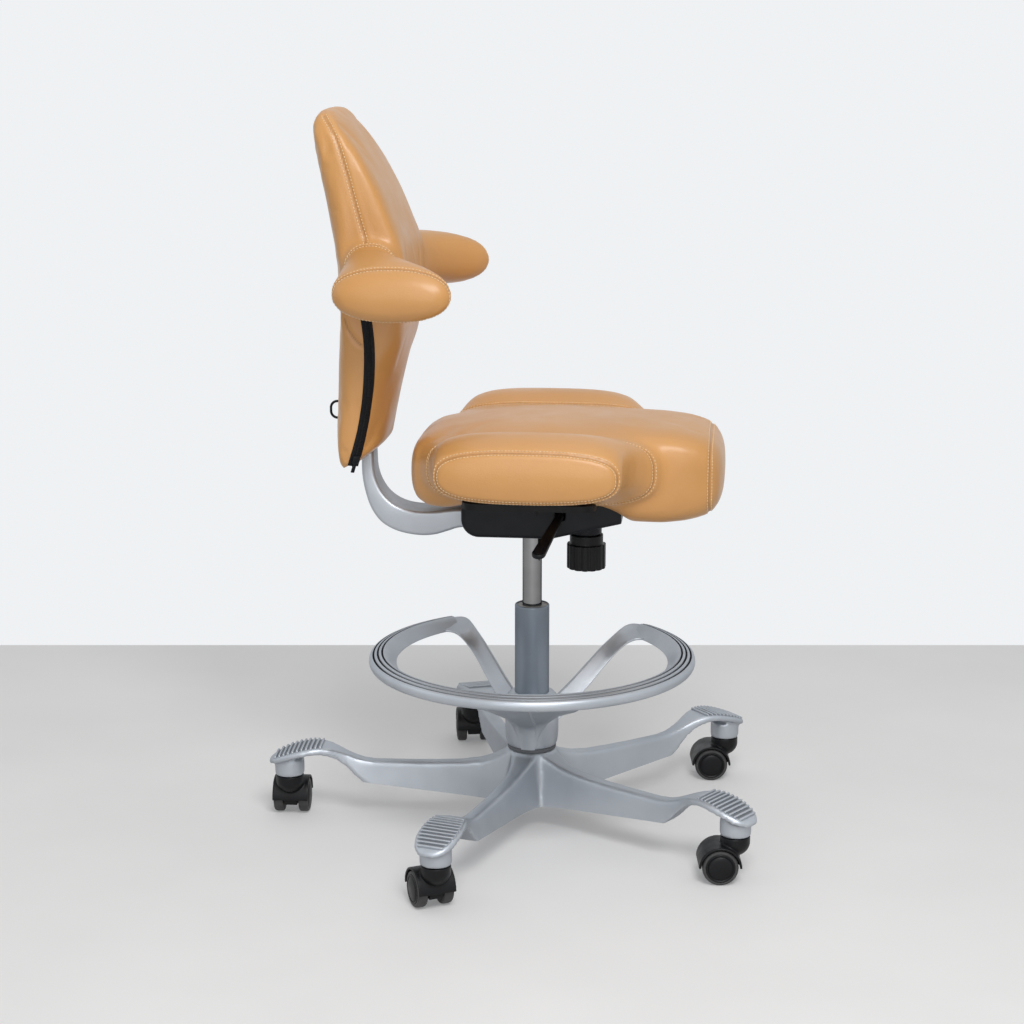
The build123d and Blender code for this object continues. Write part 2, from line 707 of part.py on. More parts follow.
caster_pieces = {
    "hood": hood.part,
    "axle": axle.part,
    "left_wheel": left_core.part,
    "left_tyre": left_tyre.part,
    "right_wheel": right_core,
    "right_tyre": right_tyre,
}
for index, (name, heading) in enumerate(CASTERS):
    turn = math.radians(ARM_TURN + 360 / ARM_COUNT * index)
    stand = (CASTER_CIRCLE * math.cos(turn), CASTER_CIRCLE * math.sin(turn), 0)
    for piece, shape in caster_pieces.items():
        write(shape.moved(Location(stand, (0, 0, heading))), f"caster_{name}_{piece}")

# Gasket between the base's hub and the foot ring's hub
with BuildPart() as ring_gasket:
    with BuildSketch(Plane.XY.offset(HUB_TOP_Z)):
        Circle(GASKET_D / 2)
        Circle(tube_r + PRESS_GAP, mode=Mode.SUBTRACT)
    extrude(amount=GASKET_HEIGHT)
write(ring_gasket.part, "ring_gasket")

# Foot ring: an open ring with three grooves, whose ends turn in and run down to the hub as spokes,
# and a fan-shaped front web
ring_inner_r = RING_R - RING_WIDTH
ring_middle_r = RING_R - RING_WIDTH / 2
ring_foot_z = RING_TOP_Z - RING_THICK


def ring_point(depth, angle, drop):
    """Point inside the ring's outer edge, at an angle from the web, below the ring's top."""
    turn = math.radians(RING_TURN + angle)
    radius = RING_R - depth
    return Vector(radius * math.cos(turn), radius * math.sin(turn), RING_TOP_Z - drop)


def band_section(side, station):
    """Upright section of a spoke's band: a narrow top, a broad slope and a straight back."""
    upper_depth, upper_angle, upper_drop, lower_depth, lower_angle, lower_drop, flat = station
    upper = ring_point(upper_depth, side * upper_angle, upper_drop)
    lower = ring_point(lower_depth, side * lower_angle, lower_drop)
    across = Vector(lower.X - upper.X, lower.Y - upper.Y, 0)
    plane = Plane(origin=upper, x_dir=across, z_dir=across.cross(Vector(0, 0, 1)))
    drop = lower.Z - upper.Z
    with BuildSketch(plane) as section:
        with BuildLine():
            Polyline(
                (0, 0),
                (0, drop),
                (across.length, drop),
                (across.length, drop + WEB_LIFT),
                (flat, 0),
                close=True,
            )
        make_face()
    return section.sketch.face()


with BuildPart() as foot_ring:
    with BuildSketch(upright(RING_TURN - RING_HALF_SPAN)) as ring_section:
        with Locations((ring_middle_r, RING_TOP_Z - RING_THICK / 2)):
            RectangleRounded(RING_WIDTH, RING_THICK, RING_EDGE_R)
        for groove in range(GROOVE_COUNT):
            with Locations((RING_R - GROOVE_FIRST - groove * GROOVE_PITCH, RING_TOP_Z)):
                Rectangle(GROOVE_WIDTH, 2 * GROOVE_DEPTH, mode=Mode.SUBTRACT)
    revolve(axis=Axis.Z, revolution_arc=2 * RING_HALF_SPAN)
    for side in (-1, 1):
        loft([band_section(side, station) for station in SPOKE_BAND], ruled=True)
    with BuildSketch(Plane.XZ):
        with BuildLine():
            Polyline(
                (tube_r, gasket_top_z),
                (RING_HUB_D / 2, gasket_top_z),
                (RING_HUB_D / 2, gasket_top_z + RING_HUB_BAND),
                (RING_HUB_D / 2 - RING_HUB_STEP, gasket_top_z + RING_HUB_BAND + RING_HUB_SHOULDER),
                (RING_HUB_TOP_D / 2, RING_HUB_TOP_Z),
                (tube_r, RING_HUB_TOP_Z),
                close=True,
            )
        make_face()
    revolve(axis=Axis.Z)

# The fan of the front web: a dished sheet from the hub up to the ring, trimmed to a trumpet outline
web_hub_z = gasket_top_z + WEB_HUB_RISE
web_middle_z = web_hub_z + WEB_MIDDLE_RISE
web_end_z = ring_foot_z + WEB_LIFT
web_turn = math.radians(WEB_HALF_SPAN)
web_reach = ring_inner_r + WEB_LAP
rib_reach = web_reach - WEB_RIB_SETBACK
with BuildPart() as front_web:
    with BuildSketch(upright(-WEB_HALF_SPAN - WEB_TRIM)):
        with BuildLine():
            ThreePointArc(
                (tube_r, web_hub_z),
                (WEB_MIDDLE_R, web_middle_z),
                (web_reach, web_end_z),
            )
            Line((web_reach, web_end_z), (web_reach, web_end_z + WEB_THICK))
            ThreePointArc(
                (web_reach, web_end_z + WEB_THICK),
                (WEB_MIDDLE_R, web_middle_z + WEB_THICK),
                (tube_r, web_hub_z + WEB_THICK),
            )
            Line((tube_r, web_hub_z + WEB_THICK), (tube_r, web_hub_z))
        make_face()
    revolve(axis=Axis.Z, revolution_arc=2 * (WEB_HALF_SPAN + WEB_TRIM))
    fan_end = (web_reach * math.cos(web_turn), web_reach * math.sin(web_turn))
    with BuildSketch(Plane.XY):
        with BuildLine():
            Line((0, -RING_HUB_TOP_D / 2), (0, RING_HUB_TOP_D / 2))
            ThreePointArc(
                (0, RING_HUB_TOP_D / 2),
                (WEB_WAIST_X, WEB_WAIST_HALF),
                fan_end,
            )
            ThreePointArc(fan_end, (RING_R, 0), (fan_end[0], -fan_end[1]))
            ThreePointArc(
                (fan_end[0], -fan_end[1]),
                (WEB_WAIST_X, -WEB_WAIST_HALF),
                (0, -RING_HUB_TOP_D / 2),
            )
        make_face()
    extrude(amount=RING_TOP_Z, mode=Mode.INTERSECT)
    with BuildSketch(Plane.XZ):
        with BuildLine():
            ThreePointArc(
                (tube_r, web_hub_z - WEB_RIB_DEPTH),
                (WEB_MIDDLE_R, web_middle_z - WEB_RIB_DEPTH),
                (rib_reach, web_end_z),
            )
            Line((rib_reach, web_end_z), (tube_r, web_hub_z + WEB_THICK))
            Line((tube_r, web_hub_z + WEB_THICK), (tube_r, web_hub_z - WEB_RIB_DEPTH))
        make_face()
    extrude(amount=WEB_RIB_WIDTH / 2, both=True)

with BuildPart() as whole_ring:
    add(foot_ring.part)
    add(front_web.part, rotation=(0, 0, RING_TURN))
    Cylinder(tube_r + PRESS_GAP, 4 * RING_TOP_Z, mode=Mode.SUBTRACT)
write(whole_ring.part, "foot_ring")

# Outer tube of the column, with a rounded mouth
with BuildPart() as column_tube:
    with BuildSketch(Plane.XZ) as tube_wall:
        with Locations((tube_r - TUBE_WALL / 2, column_foot_z)):
            Rectangle(TUBE_WALL, TUBE_TOP_Z - column_foot_z, align=(Align.CENTER, Align.MIN))
        fillet(tube_wall.vertices().group_by(Axis.Y)[-1].sort_by(Axis.X)[-1], TUBE_LIP_R)
    revolve(axis=Axis.Z)
write(column_tube.part, "column_tube")

bush_top_z = TUBE_TOP_Z - BUSH_SETBACK
guide_bush = turned(
    (cylinder_r + RUNNING_GAP, bush_top_z - BUSH_LENGTH),
    (tube_bore_r - PRESS_GAP, bush_top_z - BUSH_LENGTH),
    (tube_bore_r - PRESS_GAP, bush_top_z),
    (cylinder_r + RUNNING_GAP, bush_top_z),
)
write(guide_bush, "guide_bush")

column_end_plate = turned(
    (rod_r + RUNNING_GAP, column_foot_z),
    (tube_bore_r - PRESS_GAP, column_foot_z),
    (tube_bore_r - PRESS_GAP, bearing_foot_z),
    (rod_r + RUNNING_GAP, bearing_foot_z),
)
write(column_end_plate, "column_end_plate")

# Thrust bearing under the rod's collar: two washers and a ring of balls
with BuildPart() as thrust_bearing:
    for washer_z in (bearing_foot_z, bearing_top_z - BEARING_WASHER):
        with BuildSketch(Plane.XY.offset(washer_z)):
            Circle(BEARING_D / 2)
            Circle(rod_r + RUNNING_GAP, mode=Mode.SUBTRACT)
        extrude(amount=BEARING_WASHER)
    with Locations((0, 0, ball_z)):
        with PolarLocations((BEARING_D / 2 + rod_r) / 2, BALL_COUNT):
            Sphere(BALL_D / 2)
write(thrust_bearing.part, "thrust_bearing")

# Piston rod, with the collar that stands on the bearing, a clip groove and the piston
clip_top_z = column_foot_z - SLIDE_GAP
clip_foot_z = clip_top_z - CLIP_THICK
rod_collar_z = bearing_top_z + RUNNING_GAP
piston_r = cylinder_bore_r - RUNNING_GAP
piston_rod = turned(
    (0, column_foot_z - ROD_TAIL),
    (rod_r, column_foot_z - ROD_TAIL),
    (rod_r, clip_foot_z),
    (CLIP_GROOVE_D / 2, clip_foot_z),
    (CLIP_GROOVE_D / 2, clip_top_z),
    (rod_r, clip_top_z),
    (rod_r, rod_collar_z),
    (ROD_COLLAR_D / 2, rod_collar_z),
    (ROD_COLLAR_D / 2, rod_collar_z + ROD_COLLAR_HEIGHT),
    (rod_r, rod_collar_z + ROD_COLLAR_HEIGHT),
    (rod_r, PISTON_Z),
    (piston_r, PISTON_Z),
    (piston_r, PISTON_Z + PISTON_HEIGHT),
    (0, PISTON_Z + PISTON_HEIGHT),
)
write(piston_rod, "piston_rod")

with BuildPart() as retaining_clip:
    with BuildSketch(Plane.XY.offset(clip_foot_z)):
        Circle(CLIP_D / 2)
        Circle(CLIP_GROOVE_D / 2 + PRESS_GAP, mode=Mode.SUBTRACT)
        with Locations((CLIP_D / 2, 0)):
            Rectangle(CLIP_D, CLIP_MOUTH, mode=Mode.SUBTRACT)
    extrude(amount=CLIP_THICK)
write(retaining_clip.part, "retaining_clip")

# Bright gas cylinder: open inside for the piston, with a head that holds the release pin
cylinder_bore_top_z = cylinder_top_z - CYLINDER_HEAD
gas_cylinder = turned(
    (rod_r + RUNNING_GAP, CYLINDER_FOOT_Z),
    (cylinder_r, CYLINDER_FOOT_Z),
    (cylinder_r, cylinder_top_z),
    (PIN_D / 2 + RUNNING_GAP, cylinder_top_z),
    (PIN_D / 2 + RUNNING_GAP, cylinder_bore_top_z),
    (cylinder_bore_r, cylinder_bore_top_z),
    (cylinder_bore_r, CYLINDER_FOOT_Z + CYLINDER_END_WALL),
    (rod_r + RUNNING_GAP, CYLINDER_FOOT_Z + CYLINDER_END_WALL),
)
write(gas_cylinder, "gas_cylinder")

with BuildPart() as release_pin:
    with Locations((0, 0, pin_top_z)):
        Cylinder(PIN_D / 2, PIN_LENGTH, align=(Align.CENTER, Align.CENTER, Align.MAX))
    chamfer(release_pin.edges().group_by(Axis.Z)[-1], PIN_CHAMFER)
write(release_pin.part, "release_pin")

# Tilt block: clamped on the cylinder's head, with two pivot ears and a nose over the spring
riser_x = BLOCK_LENGTH / 2
block_middle_z = (BLOCK_FOOT_Z + BLOCK_TOP_Z) / 2
with BuildPart() as tilt_block:
    with BuildSketch(Plane.XY.offset(BOSS_FOOT_Z)):
        Circle(BOSS_D / 2)
    extrude(amount=BLOCK_TOP_Z - BOSS_FOOT_Z)
    with BuildSketch(Plane.XY.offset(BLOCK_FOOT_Z)):
        RectangleRounded(BLOCK_LENGTH, BLOCK_WIDTH, BLOCK_CORNER_R)
    extrude(amount=BLOCK_TOP_Z - BLOCK_FOOT_Z)
    for side in (-1, 1):
        with BuildSketch(facing_side(side * (ear_outer_y - EAR_THICK / 2))):
            with Locations((0, PIVOT_Z)):
                Circle(EAR_R)
                Rectangle(2 * EAR_R, PIVOT_Z - block_middle_z, align=(Align.CENTER, Align.MAX))
        extrude(amount=EAR_THICK / 2, both=True)
    with BuildSketch(facing_side(0)):
        with BuildLine():
            Polyline(
                (riser_x - NOSE_RISER, block_middle_z),
                (riser_x, block_middle_z),
                (riser_x, NOSE_FOOT_Z),
                (NOSE_LENGTH, NOSE_FOOT_Z),
                (NOSE_LENGTH, NOSE_FOOT_Z + NOSE_THICK),
                (riser_x - NOSE_RISER, NOSE_FOOT_Z + NOSE_THICK),
                close=True,
            )
        make_face()
    extrude(amount=NOSE_WIDTH / 2, both=True)
    Cylinder(cylinder_r + PRESS_GAP, 4 * PIVOT_Z, mode=Mode.SUBTRACT)
    with Locations((KNOB_X, 0, NOSE_FOOT_Z)):
        Cylinder(NOSE_HOLE_D / 2, 4 * NOSE_THICK, mode=Mode.SUBTRACT)
    with BuildSketch(facing_side(0)):
        with Locations((0, PIVOT_Z)):
            Circle(PIVOT_BOLT_D / 2 + PRESS_GAP)
    extrude(amount=BLOCK_WIDTH, both=True, mode=Mode.SUBTRACT)
write(tilt_block.part, "tilt_block")

# Two pivot bolts, screwed into the ears from outside, on which the tub tilts
with BuildPart() as pivot_bolts:
    for side in (-1, 1):
        shank_in_y = ear_outer_y - EAR_THICK
        head_y = TUB_HALF_WIDTH + SLIDE_GAP
        with BuildSketch(facing_side(side * (shank_in_y + head_y) / 2)):
            with Locations((0, PIVOT_Z)):
                Circle(PIVOT_BOLT_D / 2)
        extrude(amount=(head_y - shank_in_y) / 2, both=True)
        with BuildSketch(facing_side(side * (head_y + PIVOT_HEAD_THICK / 2))):
            with Locations((0, PIVOT_Z)):
                Circle(PIVOT_HEAD_D / 2)
        extrude(amount=PIVOT_HEAD_THICK / 2, both=True)
write(pivot_bolts.part, "pivot_bolts")

# Mechanism tub: an open moulded box with a sloping nose, holes for the pivots, levers and spindle
tub_foot_rear = (TUB_REAR_X, TUB_FOOT_Z)
pad_foot_z = TUB_FOOT_Z + TUB_WALL / 2
with BuildPart() as mechanism_tub:
    with BuildSketch(facing_side(0)) as tub_outline:
        with BuildLine():
            Polyline(
                (TUB_REAR_X, TUB_FOOT_Z),
                (TUB_SLOPE_X, TUB_FOOT_Z),
                (TUB_FRONT_X, TUB_FOOT_Z + TUB_FRONT_RISE),
                (TUB_FRONT_X, TUB_TOP_Z),
                (TUB_REAR_X, TUB_TOP_Z),
                close=True,
            )
        make_face()
        fillet(tub_outline.vertices().sort_by_distance(tub_foot_rear)[0], TUB_REAR_R)
    extrude(amount=TUB_HALF_WIDTH, both=True)
    lower_edges = mechanism_tub.edges().filter_by(Axis.Y, reverse=True)
    tub_middle_z = (TUB_FOOT_Z + TUB_TOP_Z) / 2
    fillet(lower_edges.filter_by(lambda edge: edge.center().Z < tub_middle_z), TUB_EDGE_R)
    with BuildSketch(facing_side(0)) as tub_hollow:
        with BuildLine():
            Polyline(
                (TUB_REAR_X + TUB_WALL, TUB_FOOT_Z + TUB_WALL),
                (TUB_SLOPE_X, TUB_FOOT_Z + TUB_WALL),
                (TUB_FRONT_X - TUB_WALL, TUB_FOOT_Z + TUB_FRONT_RISE + TUB_WALL),
                (TUB_FRONT_X - TUB_WALL, TUB_TOP_Z + TUB_WALL),
                (TUB_REAR_X + TUB_WALL, TUB_TOP_Z + TUB_WALL),
                close=True,
            )
        make_face()
        inner_corner = (TUB_REAR_X + TUB_WALL, TUB_FOOT_Z + TUB_WALL)
        fillet(tub_hollow.vertices().sort_by_distance(inner_corner)[0], TUB_REAR_R - TUB_WALL)
    extrude(amount=TUB_HALF_WIDTH - TUB_WALL, both=True, mode=Mode.SUBTRACT)
    # collar for the knob below, seat for the spring above
    with BuildSketch(Plane.XY.offset(knob_top_z + SLIDE_GAP)):
        with Locations((KNOB_X, 0)):
            Circle(KNOB_BOSS_D / 2)
    extrude(amount=spring_seat_z - knob_top_z - SLIDE_GAP)
    # raised pad under the back arm's root
    with BuildSketch(Plane.XY.offset(pad_foot_z)):
        with Locations(((ARM_BAR_ROOT_X + TUB_REAR_X + TUB_REAR_R) / 2, 0)):
            Rectangle(ARM_BAR_ROOT_X - TUB_REAR_X - TUB_REAR_R, ARM_BAR_WIDTH)
    extrude(amount=ARM_BAR_ROOT_FOOT_Z - pad_foot_z)
    # way out for the back arm
    with BuildSketch(facing_forward(TUB_REAR_X)):
        with Locations((0, (ARM_BAR_ROOT_FOOT_Z + ARM_BAR_ROOT_TOP_Z) / 2)):
            Rectangle(
                ARM_BAR_WIDTH + 2 * SLIDE_GAP,
                ARM_BAR_ROOT_TOP_Z - ARM_BAR_ROOT_FOOT_Z + 2 * SLIDE_GAP,
            )
    extrude(amount=TUB_REAR_R, both=True, mode=Mode.SUBTRACT)
    # way through the floor for the boss of the tilt block
    with BuildSketch(Plane.XY.offset(TUB_FOOT_Z)):
        with Locations((-TILT_ROOM / 2, 0)):
            SlotCenterToCenter(TILT_ROOM, BOSS_D + TUB_WALL)
    extrude(amount=2 * TUB_WALL, both=True, mode=Mode.SUBTRACT)
    with Locations((KNOB_X, 0, spring_seat_z)):
        Cylinder(SPINDLE_D / 2 + RUNNING_GAP, 2 * (spring_seat_z - KNOB_FOOT_Z), mode=Mode.SUBTRACT)
    with BuildSketch(facing_side(0)):
        with Locations((0, PIVOT_Z)):
            Circle(PIVOT_BOLT_D / 2 + RUNNING_GAP)
        with Locations((LEVER_X, LEVER_Z)):
            Rectangle(LEVER_SLOT, LEVER_SLOT)
    extrude(amount=2 * TUB_HALF_WIDTH, both=True, mode=Mode.SUBTRACT)
    with Locations((ARM_BOLT_FIRST_X, 0, TUB_FOOT_Z), (ARM_BOLT_FIRST_X + ARM_BOLT_PITCH, 0, TUB_FOOT_Z)):
        Cylinder(ARM_BOLT_D / 2 + PRESS_GAP, 8 * TUB_WALL, mode=Mode.SUBTRACT)
write(mechanism_tub.part, "mechanism_tub")

# Steel plate on the tub's rim, whose edges are the runners of the seat
with BuildPart() as slide_plate:
    with BuildSketch(Plane.XY.offset(plate_foot_z)):
        with Locations(((TUB_REAR_X + TUB_FRONT_X) / 2, 0)):
            RectangleRounded(TUB_FRONT_X - TUB_REAR_X, 2 * plate_half_width, PLATE_CORNER_R)
    extrude(amount=PLATE_THICK)
write(slide_plate.part, "slide_plate")

# Tension knob: a fluted grip with a narrower neck, and its spindle
with BuildPart() as tension_knob:
    with BuildSketch(Plane.XY.offset(KNOB_FOOT_Z)):
        with Locations((KNOB_X, 0)):
            Circle(KNOB_D / 2)
            with PolarLocations(KNOB_D / 2 + FLUTE_D / 4, FLUTE_COUNT):
                Circle(FLUTE_D / 2, mode=Mode.SUBTRACT)
    extrude(amount=KNOB_GRIP_HEIGHT)
    fillet(tension_knob.faces().sort_by(Axis.Z)[0].edges(), KNOB_EDGE_R)
    with BuildSketch(Plane.XY.offset(KNOB_FOOT_Z + KNOB_GRIP_HEIGHT)):
        with Locations((KNOB_X, 0)):
            Circle(KNOB_NECK_D / 2)
    extrude(amount=KNOB_NECK_HEIGHT)
    with Locations((KNOB_X, 0, knob_top_z)):
        Cylinder(SPINDLE_D / 2 + PRESS_GAP, 2 * KNOB_GRIP_HEIGHT, mode=Mode.SUBTRACT)
write(tension_knob.part, "tension_knob")

with BuildPart() as knob_spindle:
    with Locations((KNOB_X, 0, knob_top_z - KNOB_GRIP_HEIGHT)):
        Cylinder(
            SPINDLE_D / 2,
            SPINDLE_TOP_Z - knob_top_z + KNOB_GRIP_HEIGHT,
            align=(Align.CENTER, Align.CENTER, Align.MIN),
        )
write(knob_spindle.part, "knob_spindle")

# Tilt spring between the tub's floor and the nose of the tilt block
spring_foot_z = spring_seat_z + SLIDE_GAP + SPRING_WIRE / 2
spring_height = NOSE_FOOT_Z - SLIDE_GAP - SPRING_WIRE / 2 - spring_foot_z
spring_r = (SPRING_D - SPRING_WIRE) / 2
with BuildPart() as tilt_spring:
    with BuildLine() as spring_path:
        Helix(spring_height / SPRING_TURNS, spring_height, spring_r, center=(KNOB_X, 0, spring_foot_z))
    with BuildSketch(Plane(spring_path.line @ 0, z_dir=spring_path.line % 0)):
        Circle(SPRING_WIRE / 2)
    sweep(path=spring_path.line, is_frenet=True)
write(tilt_spring.part, "tilt_spring")


def paddle(side):
    """Lever handle: a flat paddle that widens from the tub's wall to a round tip."""
    root = Vector(LEVER_X, side * (TUB_HALF_WIDTH + LEVER_GAP), LEVER_Z)
    along = Vector(-LEVER_BACK, side * LEVER_REACH, -LEVER_DROP)
    flat = Plane(origin=root, x_dir=along, z_dir=Vector(0, LEVER_DROP, side * LEVER_REACH) * side)
    reach = along.length - LEVER_TIP_WIDTH / 2
    with BuildPart() as handle:
        with BuildSketch(flat):
            with BuildLine():
                Line((0, -LEVER_ROOT_WIDTH / 2), (0, LEVER_ROOT_WIDTH / 2))
                Line((0, LEVER_ROOT_WIDTH / 2), (reach, LEVER_TIP_WIDTH / 2))
                ThreePointArc(
                    (reach, LEVER_TIP_WIDTH / 2),
                    (along.length, 0),
                    (reach, -LEVER_TIP_WIDTH / 2),
                )
                Line((reach, -LEVER_TIP_WIDTH / 2), (0, -LEVER_ROOT_WIDTH / 2))
            make_face()
        extrude(amount=LEVER_THICK / 2, both=True)
        fillet(handle.edges().filter_by(lambda edge: edge.length > LEVER_TIP_WIDTH), LEVER_EDGE_R)
    return handle.part


# Height lever on the right: its inner finger turns back over the release pin
finger_foot_z = LEVER_Z - FINGER_THICK / 2
with BuildPart() as height_lever:
    add(paddle(-1))
    with BuildSketch(Plane.XY.offset(finger_foot_z)):
        with BuildLine():
            Polyline(
                (LEVER_X, -TUB_HALF_WIDTH - LEVER_ROOT_LAP),
                (LEVER_X, -FINGER_SIDE_Y),
                (0, -FINGER_SIDE_Y),
                (0, FINGER_PAST),
            )
        trace(line_width=FINGER_WIDTH)
    extrude(amount=FINGER_THICK)
write(height_lever.part, "height_lever")

# Tilt-lock lever on the left, with a short cam inside the tub
with BuildPart() as tilt_lock_lever:
    add(paddle(1))
    with BuildSketch(Plane.XY.offset(finger_foot_z)):
        with BuildLine():
            Line((LEVER_X, TUB_HALF_WIDTH + LEVER_ROOT_LAP), (LEVER_X, TUB_HALF_WIDTH - CAM_LENGTH))
        trace(line_width=FINGER_WIDTH)
    extrude(amount=FINGER_THICK)
write(tilt_lock_lever.part, "tilt_lock_lever")

# Back arm: a J-shaped casting, deep at the tub and slim where it slides in the back
upright_front_x = UPRIGHT_REAR_X + UPRIGHT_THICK
root_end_x = TUB_REAR_X - ARM_BAR_CLEAR
underside = [(UPRIGHT_REAR_X + x, ARM_BAR_ROOT_FOOT_Z + z) for x, z in ARM_BAR_UNDERSIDE]
topside = [(UPRIGHT_REAR_X + x, ARM_BAR_ROOT_TOP_Z + z) for x, z in ARM_BAR_TOPSIDE]
taper_foot_z = ARM_BAR_ROOT_TOP_Z + ARM_TAPER_FOOT
taper_top_z = UPRIGHT_FOOT_Z + ARM_TAPER_TOP
with BuildPart() as back_arm:
    with BuildSketch(facing_side(0)):
        with BuildLine():
            Polyline(
                (root_end_x, ARM_BAR_ROOT_TOP_Z),
                (ARM_BAR_ROOT_X, ARM_BAR_ROOT_TOP_Z),
                (ARM_BAR_ROOT_X, ARM_BAR_ROOT_FOOT_Z),
                (root_end_x, ARM_BAR_ROOT_FOOT_Z),
            )
            Spline(
                (root_end_x, ARM_BAR_ROOT_FOOT_Z),
                *underside,
                (UPRIGHT_REAR_X, UPRIGHT_FOOT_Z),
                tangents=((-1, -0.15), (-lean_shift, 1)),
            )
            Polyline(
                (UPRIGHT_REAR_X, UPRIGHT_FOOT_Z),
                (leaning_x(UPRIGHT_REAR_X, UPRIGHT_TOP_Z), UPRIGHT_TOP_Z),
                (leaning_x(upright_front_x, UPRIGHT_TOP_Z), UPRIGHT_TOP_Z),
                (upright_front_x, UPRIGHT_FOOT_Z),
            )
            Spline(
                (upright_front_x, UPRIGHT_FOOT_Z),
                *topside,
                (root_end_x, ARM_BAR_ROOT_TOP_Z),
                tangents=((lean_shift, -1), (1, 0.1)),
            )
        make_face()
    extrude(amount=ARM_BAR_WIDTH / 2, both=True)
    with BuildSketch(facing_forward(0)):
        with BuildLine():
            Polyline(
                (ARM_BAR_WIDTH / 2, 0),
                (ARM_BAR_WIDTH / 2, taper_foot_z),
                (UPRIGHT_WIDTH / 2, taper_top_z),
                (UPRIGHT_WIDTH / 2, BACK_TOP_Z),
                (-UPRIGHT_WIDTH / 2, BACK_TOP_Z),
                (-UPRIGHT_WIDTH / 2, taper_top_z),
                (-ARM_BAR_WIDTH / 2, taper_foot_z),
                (-ARM_BAR_WIDTH / 2, 0),
                close=True,
            )
        make_face()
    extrude(amount=-2 * abs(UPRIGHT_REAR_X), mode=Mode.INTERSECT)
    side_y = UPRIGHT_WIDTH / 2 - SLIDE_GAP
    side_edges = back_arm.edges().filter_by(lambda edge: abs(edge.center().Y) > side_y)
    rear_edges = side_edges.filter_by(lambda edge: edge.center().X < root_end_x)
    fillet(rear_edges.filter_by(lambda edge: edge.length > UPRIGHT_THICK + ARM_BAR_EDGE_R), ARM_BAR_EDGE_R)
    with Locations(
        (ARM_BOLT_FIRST_X, 0, ARM_BAR_ROOT_TOP_Z),
        (ARM_BOLT_FIRST_X + ARM_BOLT_PITCH, 0, ARM_BAR_ROOT_TOP_Z),
    ):
        Cylinder(ARM_BOLT_D / 2 + PRESS_GAP, BACK_TOP_Z - UPRIGHT_TOP_Z, mode=Mode.SUBTRACT)
write(back_arm.part, "back_arm")

with BuildPart() as arm_bolts:
    for x in (ARM_BOLT_FIRST_X, ARM_BOLT_FIRST_X + ARM_BOLT_PITCH):
        with BuildSketch(Plane.XY.offset(pad_foot_z)):
            with Locations((x, 0)):
                Circle(ARM_BOLT_D / 2)
        extrude(amount=ARM_BAR_ROOT_TOP_Z - pad_foot_z)
        with BuildSketch(Plane.XY.offset(ARM_BAR_ROOT_TOP_Z)):
            with Locations((x, 0)):
                RegularPolygon(ARM_BOLT_HEAD_D / 2, 6)
        extrude(amount=ARM_BOLT_HEAD)
write(arm_bolts.part, "arm_bolts")


def pan_outline(room):
    """Outline of the seat pan in plan, let out by some room."""
    with BuildSketch() as outline:
        with Locations(((PAN_REAR_X + PAN_FRONT_X) / 2, 0)):
            RectangleRounded(
                PAN_FRONT_X - PAN_REAR_X + 2 * room, 2 * PAN_HALF_WIDTH + 2 * room, PAN_CORNER_R
            )
        with Locations(((PAN_FLAP_REAR_X + PAN_FLAP_FRONT_X) / 2, 0)):
            RectangleRounded(
                PAN_FLAP_FRONT_X - PAN_FLAP_REAR_X + 2 * room,
                2 * PAN_FLAP_HALF_WIDTH + 2 * room,
                PAN_CORNER_R,
            )
    return outline.sketch


screw_places = [
    (x, side * SEAT_SCREW_Y) for x in (SEAT_SCREW_REAR_X, SEAT_SCREW_FRONT_X) for side in (-1, 1)
]

# Seat pan, with two hooked rails that run on the edges of the slide plate
rail_inner_y = plate_half_width + SLIDE_GAP
with BuildPart() as seat_pan:
    with BuildSketch(Plane.XY.offset(pan_foot_z)):
        add(pan_outline(0))
    extrude(amount=PAN_THICK)
    for side in (-1, 1):
        with BuildSketch(facing_forward(TUB_REAR_X)):
            with BuildLine():
                Polyline(
                    (side * rail_inner_y, pan_foot_z + RAIL_LAP),
                    (side * rail_inner_y, plate_foot_z - SLIDE_GAP),
                    (side * (TUB_HALF_WIDTH + 2 * SLIDE_GAP), plate_foot_z - SLIDE_GAP),
                    (side * (TUB_HALF_WIDTH + 2 * SLIDE_GAP), plate_foot_z - SLIDE_GAP - RAIL_HOOK),
                    (side * (rail_inner_y + RAIL_WALL), plate_foot_z - SLIDE_GAP - RAIL_HOOK),
                    (side * (rail_inner_y + RAIL_WALL), pan_foot_z + RAIL_LAP),
                    close=True,
                )
            make_face()
        extrude(amount=TUB_FRONT_X - TUB_REAR_X)
    with Locations(*[(x, y, pan_foot_z) for x, y in screw_places]):
        Cylinder(SEAT_SCREW_D / 2 + PRESS_GAP, 4 * PAN_THICK, mode=Mode.SUBTRACT)
write(seat_pan.part, "seat_pan")

with BuildPart() as seat_screws:
    for place in screw_places:
        with BuildSketch(Plane.XY.offset(pan_foot_z - SEAT_SCREW_HEAD)):
            with Locations(place):
                Circle(SEAT_SCREW_HEAD_D / 2)
        extrude(amount=SEAT_SCREW_HEAD)
        with BuildSketch(Plane.XY.offset(pan_foot_z)):
            with Locations(place):
                Circle(SEAT_SCREW_D / 2)
        extrude(amount=PAN_THICK + SEAT_SCREW_BITE)
write(seat_screws.part, "seat_screws")

